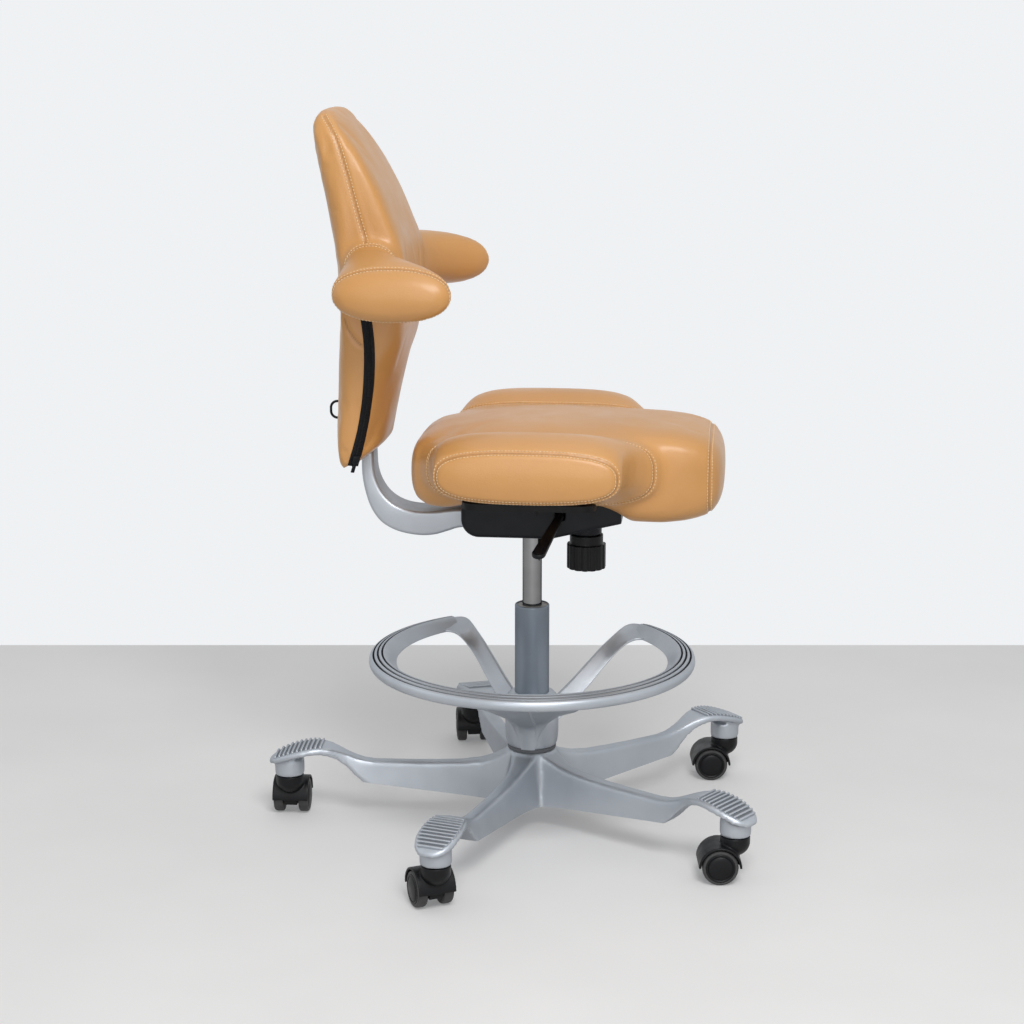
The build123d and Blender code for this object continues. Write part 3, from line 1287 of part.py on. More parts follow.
# Seat cushion: a long crowned spine with a front lobe, crossed by two broad flaps that flare into it.
# Each spine section gives its place, share of the half width, foot, top and corner, and each flap
# section its reach, flare to the rear and to the front, rise of the foot, fall of the top and corner.
spine_sections = (
    (SEAT_REAR_X, 0.62, SEAT_SKIRT_Z + 36, SEAT_TOP_Z - 52, 12),
    (SEAT_REAR_X + 14, 0.86, SEAT_SKIRT_Z + 8, SEAT_TOP_Z - 24, 24),
    (SEAT_REAR_X + 60, 0.98, SEAT_SKIRT_Z, SEAT_TOP_Z - 8, 28),
    ((SEAT_REAR_X + SEAT_FRONT_X) / 2, 1.0, SEAT_SKIRT_Z - 4, SEAT_TOP_Z - 4, 28),
    (SEAT_FRONT_X - 110, 0.98, SEAT_SKIRT_Z - 18, SEAT_TOP_Z, 30),
    (SEAT_FRONT_X - 40, 0.92, SEAT_SKIRT_Z - 14, SEAT_TOP_Z - 4, 30),
    (SEAT_FRONT_X - 12, 0.80, SEAT_SKIRT_Z + 4, SEAT_TOP_Z - 24, 24),
    (SEAT_FRONT_X, 0.62, SEAT_SKIRT_Z + 30, SEAT_TOP_Z - 54, 12),
)
flap_sections = (
    (FLAP_HALF_WIDTH, -22, -22, 16, 28, 16),
    (FLAP_HALF_WIDTH - 8, -6, -6, 4, 14, 24),
    (FLAP_HALF_WIDTH - 40, 0, 3, 0, 6, 28),
    (FLAP_HALF_WIDTH - 66, 4, 9, -4, 5, 28),
    (SEAT_HALF_WIDTH + 30, 9, 20, -10, 5, 28),
    (SEAT_HALF_WIDTH + 12, 19, 34, -18, 5, 28),
    (SEAT_HALF_WIDTH - 4, 34, 58, -28, 6, 28),
)
all_flaps = [(-reach, *rest) for reach, *rest in flap_sections] + list(reversed(flap_sections))
with BuildPart() as seat_cushion:
    loft(
        [
            puffed(
                facing_forward(x),
                -share * SEAT_HALF_WIDTH,
                share * SEAT_HALF_WIDTH,
                foot,
                top,
                (SEAT_SWELL / 2, SEAT_SWELL / 2, FLAT_SWELL, SEAT_SWELL),
                corner,
            )
            for x, share, foot, top, corner in spine_sections
        ],
        ruled=True,
    )
    loft(
        [
            puffed(
                facing_side(y),
                FLAP_REAR_X - rear_flare,
                FLAP_FRONT_X + front_flare,
                FLAP_FOOT_Z + rise,
                SEAT_TOP_Z - fall,
                (SEAT_SWELL / 2, SEAT_SWELL / 2, FLAT_SWELL, SEAT_SWELL / 2),
                corner,
            )
            for y, rear_flare, front_flare, rise, fall, corner in all_flaps
        ],
        ruled=True,
    )
    with BuildSketch(Plane.XY.offset(pan_top_z)):
        add(pan_outline(SLIDE_GAP))
    extrude(amount=-SEAT_TOP_Z, mode=Mode.SUBTRACT)
    with Locations(*[(x, y, pan_top_z) for x, y in screw_places]):
        Cylinder(SEAT_SCREW_D / 2 + PRESS_GAP, 2 * (SEAT_SCREW_BITE + SEAT_SCREW_ROOM), mode=Mode.SUBTRACT)
write(seat_cushion.part, "seat_cushion")

# Inner shell of the back: a board with a sleeve that slides on the back arm's upright
shell_front_x = upright_front_x + SLIDE_GAP + SLEEVE_WALL
shell_rear_x = UPRIGHT_REAR_X - SLIDE_GAP - SLEEVE_WALL


def leaning_slab(rear_x, front_x, foot_z, top_z, half_width):
    """Upright slab that leans with the back arm."""
    with BuildPart() as slab:
        with BuildSketch(facing_side(0)):
            with BuildLine():
                Polyline(
                    (leaning_x(rear_x, foot_z), foot_z),
                    (leaning_x(front_x, foot_z), foot_z),
                    (leaning_x(front_x, top_z), top_z),
                    (leaning_x(rear_x, top_z), top_z),
                    close=True,
                )
            make_face()
        extrude(amount=half_width, both=True)
    return slab.part


sleeve_half_width = UPRIGHT_WIDTH / 2 + SLIDE_GAP + SLEEVE_WALL
board_rear_x = shell_front_x - SHELL_THICK
with BuildPart() as back_shell:
    add(leaning_slab(shell_rear_x, shell_front_x, SHELL_FOOT_Z, SLEEVE_TOP_Z, sleeve_half_width))
    add(leaning_slab(board_rear_x, shell_front_x, SHELL_FOOT_Z, SHELL_TOP_Z, SHELL_HALF_WIDTH))
    add(
        leaning_slab(
            UPRIGHT_REAR_X - SLIDE_GAP,
            upright_front_x + SLIDE_GAP,
            SHELL_FOOT_Z - SLEEVE_WALL,
            SLEEVE_TOP_Z + SLEEVE_WALL,
            UPRIGHT_WIDTH / 2 + SLIDE_GAP,
        ),
        mode=Mode.SUBTRACT,
    )
write(back_shell.part, "back_shell")

# Back cushion: each level gives its height, rear, front, share of the half width and corner, and each
# wing station its reach, rear, front, depth below and above the wings' middle and corner
back_levels = (
    (BACK_FOOT_Z, -253, -214, 0.66, 10),
    (BACK_FOOT_Z + 16, -258, -210, 0.82, 14),
    (BACK_FOOT_Z + 46, -261, -205, 0.94, 20),
    (BACK_FOOT_Z + 111, -259, -196, 1.0, 26),
    (WING_Z - 82, -257, -174, 1.0, 30),
    (WING_Z + 25, -261, -164, 0.98, 32),
    (BACK_TOP_Z - 112, -275, -199, 0.93, 28),
    (BACK_TOP_Z - 52, -287, -232, 0.84, 20),
    (BACK_TOP_Z - 17, -292, -258, 0.72, 12),
    (BACK_TOP_Z, -288, -270, 0.5, 6),
)
wing_stations = (
    (BACK_HALF_WIDTH * 0.5, -245, -175, 24, 38, 24),
    (BACK_HALF_WIDTH + 12, -240, -165, 22, 36, 24),
    (WING_HALF_SPAN - 62, -244, -125, 34, 40, 30),
    (WING_HALF_SPAN - 15, -246, -98, 39, 39, 34),
    (WING_HALF_SPAN, -232, -112, 28, 28, 24),
)


def back_body(narrower):
    """The back's upright body, made narrower by some depth on both sides."""
    with BuildPart() as body:
        loft(
            [
                puffed(
                    Plane.XY.offset(height),
                    rear,
                    front,
                    narrower - share * BACK_HALF_WIDTH,
                    share * BACK_HALF_WIDTH - narrower,
                    (BACK_SWELL, BACK_SWELL, BACK_SWELL / 3, BACK_SWELL / 3),
                    corner,
                )
                for height, rear, front, share, corner in back_levels
            ],
            ruled=True,
        )
    return body.part


def zip_band(room):
    """Upright band through the back along the line of the zips, let out by some room."""
    with BuildPart() as band:
        with BuildSketch(facing_side(0)):
            with BuildLine():
                Spline(*ZIP_LINE)
            trace(line_width=ZIP_WIDTH + 2 * room)
        extrude(amount=2 * BACK_HALF_WIDTH, both=True)
    return band.part


with BuildPart() as back_zips:
    add(back_body(0))
    add(zip_band(0), mode=Mode.INTERSECT)
    add(back_body(ZIP_THICK), mode=Mode.SUBTRACT)
write(back_zips.part, "back_zips")

with BuildPart() as zip_recess:
    add(zip_band(SLIDE_GAP))
    add(back_body(ZIP_THICK + SLIDE_GAP), mode=Mode.SUBTRACT)

# Release loop of the back's height stop: a bent wire whose legs run through the cushion
loop_leg = LOOP_HEIGHT / 2
loop_root_x = leaning_x(shell_rear_x, LOOP_Z + loop_leg + LOOP_WIRE_D) - SLIDE_GAP


def loop_wire(diameter):
    """The bent wire of the release loop."""
    with BuildPart() as wire:
        with BuildLine(facing_side(0)) as path:
            FilletPolyline(
                (loop_root_x, LOOP_Z - loop_leg),
                (LOOP_REACH_X, LOOP_Z - loop_leg),
                (LOOP_REACH_X, LOOP_Z + loop_leg),
                (loop_root_x, LOOP_Z + loop_leg),
                radius=LOOP_BEND_R,
            )
        with BuildSketch(Plane(path.line @ 0, z_dir=path.line % 0)):
            Circle(diameter / 2)
        sweep(path=path.line)
    return wire.part


write(loop_wire(LOOP_WIRE_D), "release_loop")

with BuildPart() as back_cushion:
    add(back_body(0))
    for side in (-1, 1):
        loft(
            [
                puffed(
                    facing_side(side * reach),
                    rear,
                    front,
                    WING_Z - below,
                    WING_Z + above,
                    (BACK_SWELL / 2, BACK_SWELL / 2, BACK_SWELL / 3, BACK_SWELL / 3),
                    corner,
                )
                for reach, rear, front, below, above, corner in wing_stations
            ],
            ruled=True,
        )
    add(
        leaning_slab(
            UPRIGHT_REAR_X - ARM_ROOM,
            upright_front_x + ARM_ROOM,
            BACK_FOOT_Z - BACK_HALF_WIDTH,
            SHELL_FOOT_Z,
            UPRIGHT_WIDTH / 2 + 2 * ARM_ROOM,
        ),
        mode=Mode.SUBTRACT,
    )
    add(
        leaning_slab(
            shell_rear_x - SLIDE_GAP,
            shell_front_x + SLIDE_GAP,
            SHELL_FOOT_Z - SLIDE_GAP,
            SLEEVE_TOP_Z + SLIDE_GAP,
            sleeve_half_width + SLIDE_GAP,
        ),
        mode=Mode.SUBTRACT,
    )
    add(
        leaning_slab(
            board_rear_x - SLIDE_GAP,
            shell_front_x + SLIDE_GAP,
            SHELL_FOOT_Z - SLIDE_GAP,
            SHELL_TOP_Z + SLIDE_GAP,
            SHELL_HALF_WIDTH + SLIDE_GAP,
        ),
        mode=Mode.SUBTRACT,
    )
    add(zip_recess.part, mode=Mode.SUBTRACT)
    add(loop_wire(LOOP_WIRE_D + 2 * SLIDE_GAP), mode=Mode.SUBTRACT)
write(back_cushion.part, "back_cushion")
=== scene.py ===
import json
import math

import bmesh
import bpy
from mathutils import Matrix, Vector
from mathutils.bvhtree import BVHTree
from mathutils.kdtree import KDTree


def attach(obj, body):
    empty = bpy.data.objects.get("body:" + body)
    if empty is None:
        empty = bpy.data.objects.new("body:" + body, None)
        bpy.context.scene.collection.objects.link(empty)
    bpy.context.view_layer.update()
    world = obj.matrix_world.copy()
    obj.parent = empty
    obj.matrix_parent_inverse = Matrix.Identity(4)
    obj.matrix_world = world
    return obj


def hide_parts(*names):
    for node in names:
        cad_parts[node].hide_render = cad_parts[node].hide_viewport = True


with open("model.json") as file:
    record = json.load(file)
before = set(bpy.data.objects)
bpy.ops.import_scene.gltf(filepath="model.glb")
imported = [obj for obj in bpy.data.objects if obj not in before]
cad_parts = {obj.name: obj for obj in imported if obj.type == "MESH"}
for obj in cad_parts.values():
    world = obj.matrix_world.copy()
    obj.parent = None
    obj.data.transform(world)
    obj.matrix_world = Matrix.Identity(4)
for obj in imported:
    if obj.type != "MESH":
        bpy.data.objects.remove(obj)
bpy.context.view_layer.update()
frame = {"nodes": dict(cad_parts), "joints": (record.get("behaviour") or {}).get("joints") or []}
MM = 0.001

# Star base
# One aluminium die casting: a hub and five blade arms that run into each other, hollow from below, and
# rise into leaf-shaped step plates over the casters. It is sprayed satin silver over the cast skin.


def loop_of(bm, points):
    """Adds a closed loop of edges through the points."""
    loop = bmesh.ops.create_circle(bm, segments=len(points), radius=1.0)["verts"]
    for vert, point in zip(loop, points):
        vert.co = point
    return loop


def edges_of(loop):
    """Edges that join the verts of one loop."""
    members = set(loop)
    return list(dict.fromkeys(e for v in loop for e in v.link_edges if e.other_vert(v) in members))


def loft(bm, loops, ends=True):
    """Skins a row of loops into a bar, with flat ends or open ones."""
    rings = [edges_of(loop) for loop in loops]
    for near, far in zip(rings, rings[1:]):
        bmesh.ops.bridge_loops(bm, edges=near + far)
    if ends:
        for end in (rings[0], rings[-1]):
            bmesh.ops.edgeloop_fill(bm, edges=end)


# points of a turned form closer than this become one
WELD = 0.01


def turned(bm, profile, steps, place=Matrix(), closed=True):
    """Adds a form turned about the local Z axis from a profile of (radius, height)."""
    before = set(bm.verts)
    verts = [bm.verts.new((r * MM, 0, z * MM)) for r, z in profile]
    pairs = list(zip(verts, verts[1:])) + ([(verts[-1], verts[0])] if closed else [])
    edges = [bm.edges.new(pair) for pair in pairs]
    bmesh.ops.spin(
        bm, geom=verts + edges, axis=(0, 0, 1), cent=(0, 0, 0), angle=2 * math.pi, steps=steps, use_merge=True
    )
    bmesh.ops.remove_doubles(bm, verts=[v for v in bm.verts if v not in before], dist=WELD * MM)
    bmesh.ops.transform(bm, matrix=place, verts=[v for v in bm.verts if v not in before])


def as_mesh(bm):
    """Closes a bmesh into a mesh with its faces turned outwards."""
    bmesh.ops.recalc_face_normals(bm, faces=bm.faces)
    mesh = bpy.data.meshes.new("piece")
    bm.to_mesh(mesh)
    bm.free()
    return mesh


def baked(mesh, *steps):
    """The mesh after a row of modifiers, each given by its kind and its settings."""
    rough = bpy.data.objects.new("rough", mesh)
    bpy.context.scene.collection.objects.link(rough)
    for kind, settings in steps:
        modifier = rough.modifiers.new(kind.lower(), kind)
        for key, value in settings.items():
            setattr(modifier, key, value)
    whole = bpy.data.meshes.new_from_object(rough.evaluated_get(bpy.context.evaluated_depsgraph_get()))
    bpy.data.objects.remove(rough)
    return whole


def fused(bm, voxel, rounds):
    """One skin over all the closed forms in a bmesh, softened as a casting or moulding is."""
    remesh = ("REMESH", {"mode": "VOXEL", "voxel_size": voxel * MM})
    return baked(as_mesh(bm), remesh, ("SMOOTH", {"factor": 0.5, "iterations": rounds}))


def make_piece(name, mesh, material, body, slot, *nodes, crease=None):
    """Puts a finished mesh in the scene, on its body and in place of its nodes."""
    mesh.name = name
    mesh.shade_smooth()
    if crease:
        mesh.set_sharp_from_angle(angle=math.radians(crease))
    mesh.materials.clear()
    mesh.materials.append(material)
    piece = bpy.data.objects.new(name, mesh)
    bpy.context.scene.collection.objects.link(piece)
    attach(piece, body)
    if nodes:
        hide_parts(*nodes)
    return piece


# the middle part of a noise, which is spread from one end of a tint or a roughness to the other
NOISE_LOW = 0.3
NOISE_HIGH = 0.7


def noise(tree, scale, detail):
    """Noise on the piece's own coordinates, with so many grains to the metre."""
    place = tree.nodes.new("ShaderNodeTexCoord")
    grain = tree.nodes.new("ShaderNodeTexNoise")
    grain.inputs["Scale"].default_value = scale
    grain.inputs["Detail"].default_value = detail
    tree.links.new(place.outputs["Object"], grain.inputs["Vector"])
    return grain.outputs["Fac"]


def tinted(tree, factor, low, high, socket):
    """Spreads a factor between two colours into a shader's socket."""
    ramp = tree.nodes.new("ShaderNodeValToRGB")
    for stop, position, colour in zip(ramp.color_ramp.elements, (NOISE_LOW, NOISE_HIGH), (low, high)):
        stop.position = position
        stop.color = (*colour, 1)
    tree.links.new(factor, ramp.inputs["Fac"])
    tree.links.new(ramp.outputs["Color"], socket)


def ranged(tree, factor, low, high, socket):
    """Spreads a factor between two values into a shader's socket."""
    span = tree.nodes.new("ShaderNodeMapRange")
    for key, value in (("From Min", NOISE_LOW), ("From Max", NOISE_HIGH), ("To Min", low), ("To Max", high)):
        span.inputs[key].default_value = value
    tree.links.new(factor, span.inputs["Value"])
    tree.links.new(span.outputs["Result"], socket)


def dented(tree, height, depth, strength, socket):
    """Bumps a normal by a height, so many metres deep."""
    bump = tree.nodes.new("ShaderNodeBump")
    bump.inputs["Strength"].default_value = strength
    bump.inputs["Distance"].default_value = depth
    tree.links.new(height, bump.inputs["Height"])
    tree.links.new(bump.outputs["Normal"], socket)
    return bump


def finish(name, tint, rough=None, grain=None, metallic=0.0):
    """A material and its shader. Tint and rough are a noise's scale, detail and two ends, and grain is its scale,
    detail, depth in metres and strength."""
    material = bpy.data.materials.new(name)
    material.use_nodes = True
    tree = material.node_tree
    shader = tree.nodes["Principled BSDF"]
    shader.inputs["Metallic"].default_value = metallic
    tinted(tree, noise(tree, *tint[:2]), *tint[2:], shader.inputs["Base Color"])
    if rough:
        ranged(tree, noise(tree, *rough[:2]), *rough[2:], shader.inputs["Roughness"])
    if grain:
        dented(tree, noise(tree, *grain[:2]), *grain[2:], shader.inputs["Normal"])
    return material, shader


def marked(material, shader, attribute, colour):
    """Mixes a colour into the tint where a piece's attribute marks painted shade or a seam."""
    tree = material.node_tree
    base = shader.inputs["Base Color"]
    mark = tree.nodes.new("ShaderNodeAttribute")
    mark.attribute_name = attribute
    mix = tree.nodes.new("ShaderNodeMix")
    mix.data_type = "RGBA"
    mix.inputs["B"].default_value = (*colour, 1)
    tree.links.new(mark.outputs["Fac"], mix.inputs["Factor"])
    tree.links.new(base.links[0].from_socket, mix.inputs["A"])
    tree.links.new(mix.outputs["Result"], base)


silver, shader = finish(
    "silver_spray", tint=(9.0, 4.0, (0.42, 0.45, 0.49), (0.5, 0.53, 0.57)), rough=(40.0, 3.0, 0.34, 0.46),
    grain=(1400.0, 1.0, 0.00012, 0.5), metallic=0.6,
)
shader.inputs["Specular Tint"].default_value = (0.55, 0.57, 0.6, 1)
# dark painted shade, mixed into the silver in the foot ring's grooves and between the step ridges
marked(silver, shader, "painted_shade", (0.035, 0.037, 0.042))

ARM_COUNT = 5
ARM_TURN = 38.7
CASTER_CIRCLE = 359.0
COLLAR_R = 21.8
COLLAR_Z = 78.0
COLLAR_HIGH = 25.0
# distance from the column, top, foot and half widths at top and foot
ARM_STATIONS = (
    (20, 116, 25, 24.0, 36.0),
    (34, 111, 28, 19.0, 30.0),
    (46, 105, 29.5, 15.6, 25.6),
    (58, 100, 31, 13.4, 22.8),
    (74, 95.5, 33, 11.9, 20.6),
    (100, 92, 35.5, 11.0, 19.2),
    (140, 90.2, 39.5, 10.5, 18.4),
    (190, 90, 45, 10.3, 17.3),
    (233, 90, 50, 10.5, 16.6),
    (247, 91.5, 57, 11.0, 16.2),
    (260, 95.5, 68, 11.6, 15.8),
    (273, 101, 82, 12.8, 16.0),
    (287, 107, 93, 16.6, 18.6),
    (299, 110.8, 99, 21.2, 22.4),
    (312, 112.4, 102, 25.2, 26.0),
    (327, 111.4, 101.5, 28.6, 29.2),
    (342, 108.2, 98.6, 30.0, 30.5),
    (357, 103.6, 94.4, 29.4, 29.9),
    (370, 98.6, 89.8, 26.2, 26.7),
    (379, 94.8, 86.4, 21.4, 21.9),
    (385, 91.8, 84, 14.6, 15.0),
    (388.5, 90, 82.6, 6.4, 6.8),
)
HUB_PROFILE = (
    (25.2, 28), (38, 28), (43, 40), (43.5, 74), (41.5, 88), (38.6, 101), (36.6, 110), (36, 116), (25.2, 116),
)
# round of an arm's upper edges, its share of the half width at most, and how far its middle point is cut back
ARM_EDGE = 3.4
EDGE_SHARE = 0.45
EDGE_CUT = 0.3
# the arms end below in a plane: its height under the column, its rise with distance and its reach
FOOT_Z = 33.0
FOOT_RISE = 0.105
FOOT_REACH = 300.0
CAST_WALL = 4.5
HUB_STEPS = 72


def arm_loop(bm, place, station):
    """Section across an arm, with round upper edges."""
    reach, top, foot, half_top, half_foot = station
    edge = min(ARM_EDGE, half_top * EDGE_SHARE)
    back = EDGE_CUT * edge
    half_side = ((half_top, top - edge), (half_top - back, top - back), (half_top - edge, top))
    outline = [(-half_foot, foot), *((-y, z) for y, z in half_side), *reversed(half_side), (half_foot, foot)]
    return loop_of(bm, [place @ Vector((reach * MM, y * MM, z * MM)) for y, z in outline])


arm_turns = [Matrix.Rotation(math.radians(ARM_TURN + 360 / ARM_COUNT * i), 4, "Z") for i in range(ARM_COUNT)]
bm = bmesh.new()
turned(bm, HUB_PROFILE, HUB_STEPS)
for turn in arm_turns:
    loft(bm, [arm_loop(bm, turn, station) for station in ARM_STATIONS])
    collar = turn @ Matrix.Translation((CASTER_CIRCLE * MM, 0, COLLAR_Z * MM))
    bmesh.ops.create_cone(
        bm, cap_ends=True, segments=48, radius1=COLLAR_R * MM, radius2=COLLAR_R * MM, depth=COLLAR_HIGH * MM,
        matrix=collar,
    )
solid_star = fused(bm, voxel=2.65, rounds=8)
bm = bmesh.new()
bm.from_mesh(solid_star)
for turn in arm_turns:
    ahead = turn.to_3x3() @ Vector((1, 0, 0))
    half_sector = math.cos(math.pi / ARM_COUNT)
    faces = []
    for face in bm.faces:
        flat = face.calc_center_median() * Vector((1, 1, 0))
        if flat.length < FOOT_REACH * MM and flat.dot(ahead) > half_sector * flat.length:
            faces.append(face)
    edges = list(dict.fromkeys(e for f in faces for e in f.edges))
    verts = list(dict.fromkeys(v for f in faces for v in f.verts))
    bmesh.ops.bisect_plane(
        bm, geom=verts + edges + faces, plane_co=(0, 0, FOOT_Z * MM), plane_no=ahead * FOOT_RISE - Vector((0, 0, 1)),
        clear_outer=True,
    )
star_skin = baked(as_mesh(bm), ("SOLIDIFY", {"thickness": CAST_WALL * MM, "offset": -1.0}))
base_casting = make_piece("base_casting", star_skin, silver, "base", "silver_paint", "star_base", crease=60)

# Step ridges
# Rounded bars across each step plate, cast with the arm, so that a shoe doesn't slip.
# The plate between them is darkened with painted shade.
RIDGE_COUNT = 11
RIDGE_PITCH = 6.7
RIDGE_WIDE = 3.4
RIDGE_HIGH = 4.6
RIDGE_EDGE = 1.1
RIDGE_LIFT = 0.1
RIDGE_MIDDLE = CASTER_CIRCLE - 15
RIDGE_FIELD = RIDGE_COUNT * RIDGE_PITCH / 2
# bare rim round the ridges, and how dark the painted shade makes the plate between them
RIDGE_RIM = 3.6
RIDGE_SHADE = 0.6
# columns of an arm station
TOP, FOOT, HALF_TOP = 1, 2, 3
# the plate's slope under a ridge is read this far before and behind it
SLOPE_REACH = 4.0
# faces that look up at least this much are the plate's upper side
LOOKS_UP = 0.6


def along_arm(reach, column):
    """A size of the arm at a distance from the column, read between its stations."""
    for near, far in zip(ARM_STATIONS, ARM_STATIONS[1:]):
        if near[0] <= reach <= far[0]:
            share = (reach - near[0]) / (far[0] - near[0])
            return near[column] + (far[column] - near[column]) * share
    return ARM_STATIONS[-1][column]


def block(bm, matrix, edge, segments):
    """Adds a unit box shaped by a matrix, with its edges rounded by so many mm."""
    corners = bmesh.ops.create_cube(bm, size=1.0, matrix=matrix)["verts"]
    bmesh.ops.bevel(
        bm, geom=list(dict.fromkeys(e for v in corners for e in v.link_edges)), offset=edge * MM, segments=segments,
        profile=0.5, affect="EDGES", material=-1,
    )


bm = bmesh.new()
for turn in arm_turns:
    for step in range(RIDGE_COUNT):
        reach = RIDGE_MIDDLE + (step - (RIDGE_COUNT - 1) / 2) * RIDGE_PITCH
        fall = along_arm(reach - SLOPE_REACH, TOP) - along_arm(reach + SLOPE_REACH, TOP)
        half = along_arm(reach, HALF_TOP) - RIDGE_RIM
        lie = Matrix.Rotation(math.atan2(fall, 2 * SLOPE_REACH), 4, "Y")
        place = Matrix.Translation((reach * MM, 0, (along_arm(reach, TOP) + RIDGE_LIFT) * MM))
        size = Matrix.Diagonal((RIDGE_WIDE * MM, 2 * half * MM, RIDGE_HIGH * MM, 1))
        block(bm, turn @ place @ lie @ size, RIDGE_EDGE, segments=2)
make_piece("step_ridges", as_mesh(bm), silver, "base", "silver_paint", crease=40)
# painted shade on the plate's upper side between the ridges, fading out towards the bare rim
painted_shade = base_casting.data.attributes.new("painted_shade", "FLOAT", "POINT")
for vert in base_casting.data.vertices:
    reach = vert.co.xy.length / MM
    turn = math.atan2(vert.co.y, vert.co.x) - math.radians(ARM_TURN)
    across = reach * abs(math.sin(math.remainder(turn, 2 * math.pi / ARM_COUNT)))
    inside = min(RIDGE_FIELD - abs(reach - RIDGE_MIDDLE), along_arm(reach, HALF_TOP) - RIDGE_RIM - across)
    if inside > 0 and vert.normal.z > LOOKS_UP and vert.co.z > along_arm(reach, FOOT) * MM:
        painted_shade.data[vert.index].value = RIDGE_SHADE * min(1, inside / RIDGE_RIM)

# Casters
# Twin-wheel casters on steel stems: a black nylon hood with a fender over two black discs, each with
# a dark grey rubber tyre. Hoods swivel in the collars and wheels turn on the axle.
black_plastic, shader = finish(
    "black_nylon", tint=(25.0, 3.0, (0.003, 0.0032, 0.004), (0.0075, 0.0078, 0.009)), rough=(60.0, 3.0, 0.34, 0.5),
    grain=(1800.0, 1.0, 0.0001, 0.6),
)
shader.inputs["Specular IOR Level"].default_value = 0.22
tyre_rubber, shader = finish(
    "grey_rubber", tint=(90.0, 4.0, (0.03, 0.03, 0.032), (0.055, 0.054, 0.053)), rough=(50.0, 3.0, 0.52, 0.72),
    grain=(900.0, 2.0, 0.00012, 0.5),
)
steel, shader = finish(
    "plain_steel", tint=(30.0, 3.0, (0.48, 0.48, 0.49), (0.56, 0.56, 0.57)), rough=(300.0, 2.0, 0.26, 0.4),
    grain=(700.0, 2.0, 0.00005, 0.4), metallic=1.0,
)

# radius and distance from the caster's middle, from the inner face round to the middle of the outer one
DISC_PROFILE = (
    (0, 11), (19.6, 11), (20.4, 11.8), (20.4, 25.4), (20.0, 26.1), (19.2, 26.4), (18.2, 26.2), (17.7, 25.4),
    (17.0, 25.2), (16.4, 25.9), (15.4, 26.6), (12, 27.2), (7, 27.7), (3, 27.9), (0, 28),
)
TYRE_PROFILE = (
    (20.3, 11.4), (22.6, 11.2), (24.0, 11.9), (24.8, 13.2), (25, 15), (25, 21.5), (24.7, 23.4), (23.9, 24.9),
    (22.7, 25.7), (21.4, 25.8), (20.3, 25.3),
)
WHEEL_STEPS = 64
# the edges of the CAD meshes meet within this
NODE_WELD = 0.002


def rounded_copy(node, voxel, rounds):
    """A copy of a moulded node with its edges softened."""
    bm = bmesh.new()
    bm.from_mesh(frame["nodes"][node].data)
    bmesh.ops.remove_doubles(bm, verts=bm.verts, dist=NODE_WELD * MM)
    return fused(bm, voxel, rounds)


def dress(material, *names):
    """Gives CAD pieces a finish."""
    for name in names:
        mesh = frame["nodes"][name].data
        mesh.materials.clear()
        mesh.materials.append(material)


joints = {joint["name"]: joint for joint in frame["joints"]}
for name in ("front_left", "left", "rear", "right", "front_right"):
    swivel = f"caster_{name}"
    hood = rounded_copy(f"{swivel}_hood", voxel=0.9, rounds=4)
    make_piece(f"{swivel}_hood_moulding", hood, black_plastic, swivel, "black_plastic", f"{swivel}_hood")
    for side, outward in (("left", 1), ("right", -1)):
        wheel = f"{swivel}_{side}_wheel"
        joint = joints[f"{wheel}_roll"]
        axle = Vector(joint["axis"]) * outward
        place = Matrix.Translation(joint["pos_m"]) @ axle.to_track_quat("Z", "Y").to_matrix().to_4x4()
        for label, profile, closed, material, slot, node in (
            ("disc", DISC_PROFILE, False, black_plastic, "black_plastic", f"{swivel}_{side}_wheel"),
            ("tread", TYRE_PROFILE, True, tyre_rubber, "grey_tyre", f"{swivel}_{side}_tyre"),
        ):
            bm = bmesh.new()
            turned(bm, profile, WHEEL_STEPS, place, closed)
            make_piece(f"{wheel}_{label}", as_mesh(bm), material, wheel, slot, node, crease=50)
    dress(steel, f"{swivel}_axle")
dress(steel, "caster_stems")

# Foot ring
# A silver casting clamped on the column: an open ring with grooves in its tread, two ends that turn in
# and run down to the hub as sloping bands, and a fan-shaped web in front with a raised middle panel.
RING_TURN = -92.5
RING_R = 237.0
TREAD_SPAN = 138.0
# depth in from the ring's outer edge, and height, round the section
TREAD_PROFILE = (
    (0.7, 246.4), (0, 249.5), (0.3, 252.8), (1.4, 255.8), (3.0, 257.4), (5.0, 258.4), (5.4, 256.2), (6.5, 255.2),
    (7.6, 256.9), (8.0, 259.4), (11.4, 260.5), (11.8, 258.3), (12.9, 257.4), (14.0, 259.0), (14.4, 261.4),
    (17.8, 262.3), (18.2, 260.0), (19.3, 259.2), (20.4, 260.4), (20.8, 262.6), (23.5, 262.2), (27.5, 259.8),
    (31.5, 256.0), (35.5, 251.7), (38.6, 248.6), (40, 247.2), (39.6, 246.2), (37.5, 245.8), (12, 243.4), (6, 243),
    (3, 243.6), (1.6, 244.8),
)
# depths of the tread's grooves in from the outer edge, and half the width painted with shade along each
GROOVES = (6.5, 12.9, 19.3)
GROOVE_HALF = 1.3
TREAD_STEPS = 180


def polar(radius, angle, z):
    """Point at a radius in mm, at an angle from the web's direction."""
    turn = math.radians(RING_TURN + angle)
    return Vector((radius * math.cos(turn), radius * math.sin(turn), z)) * MM


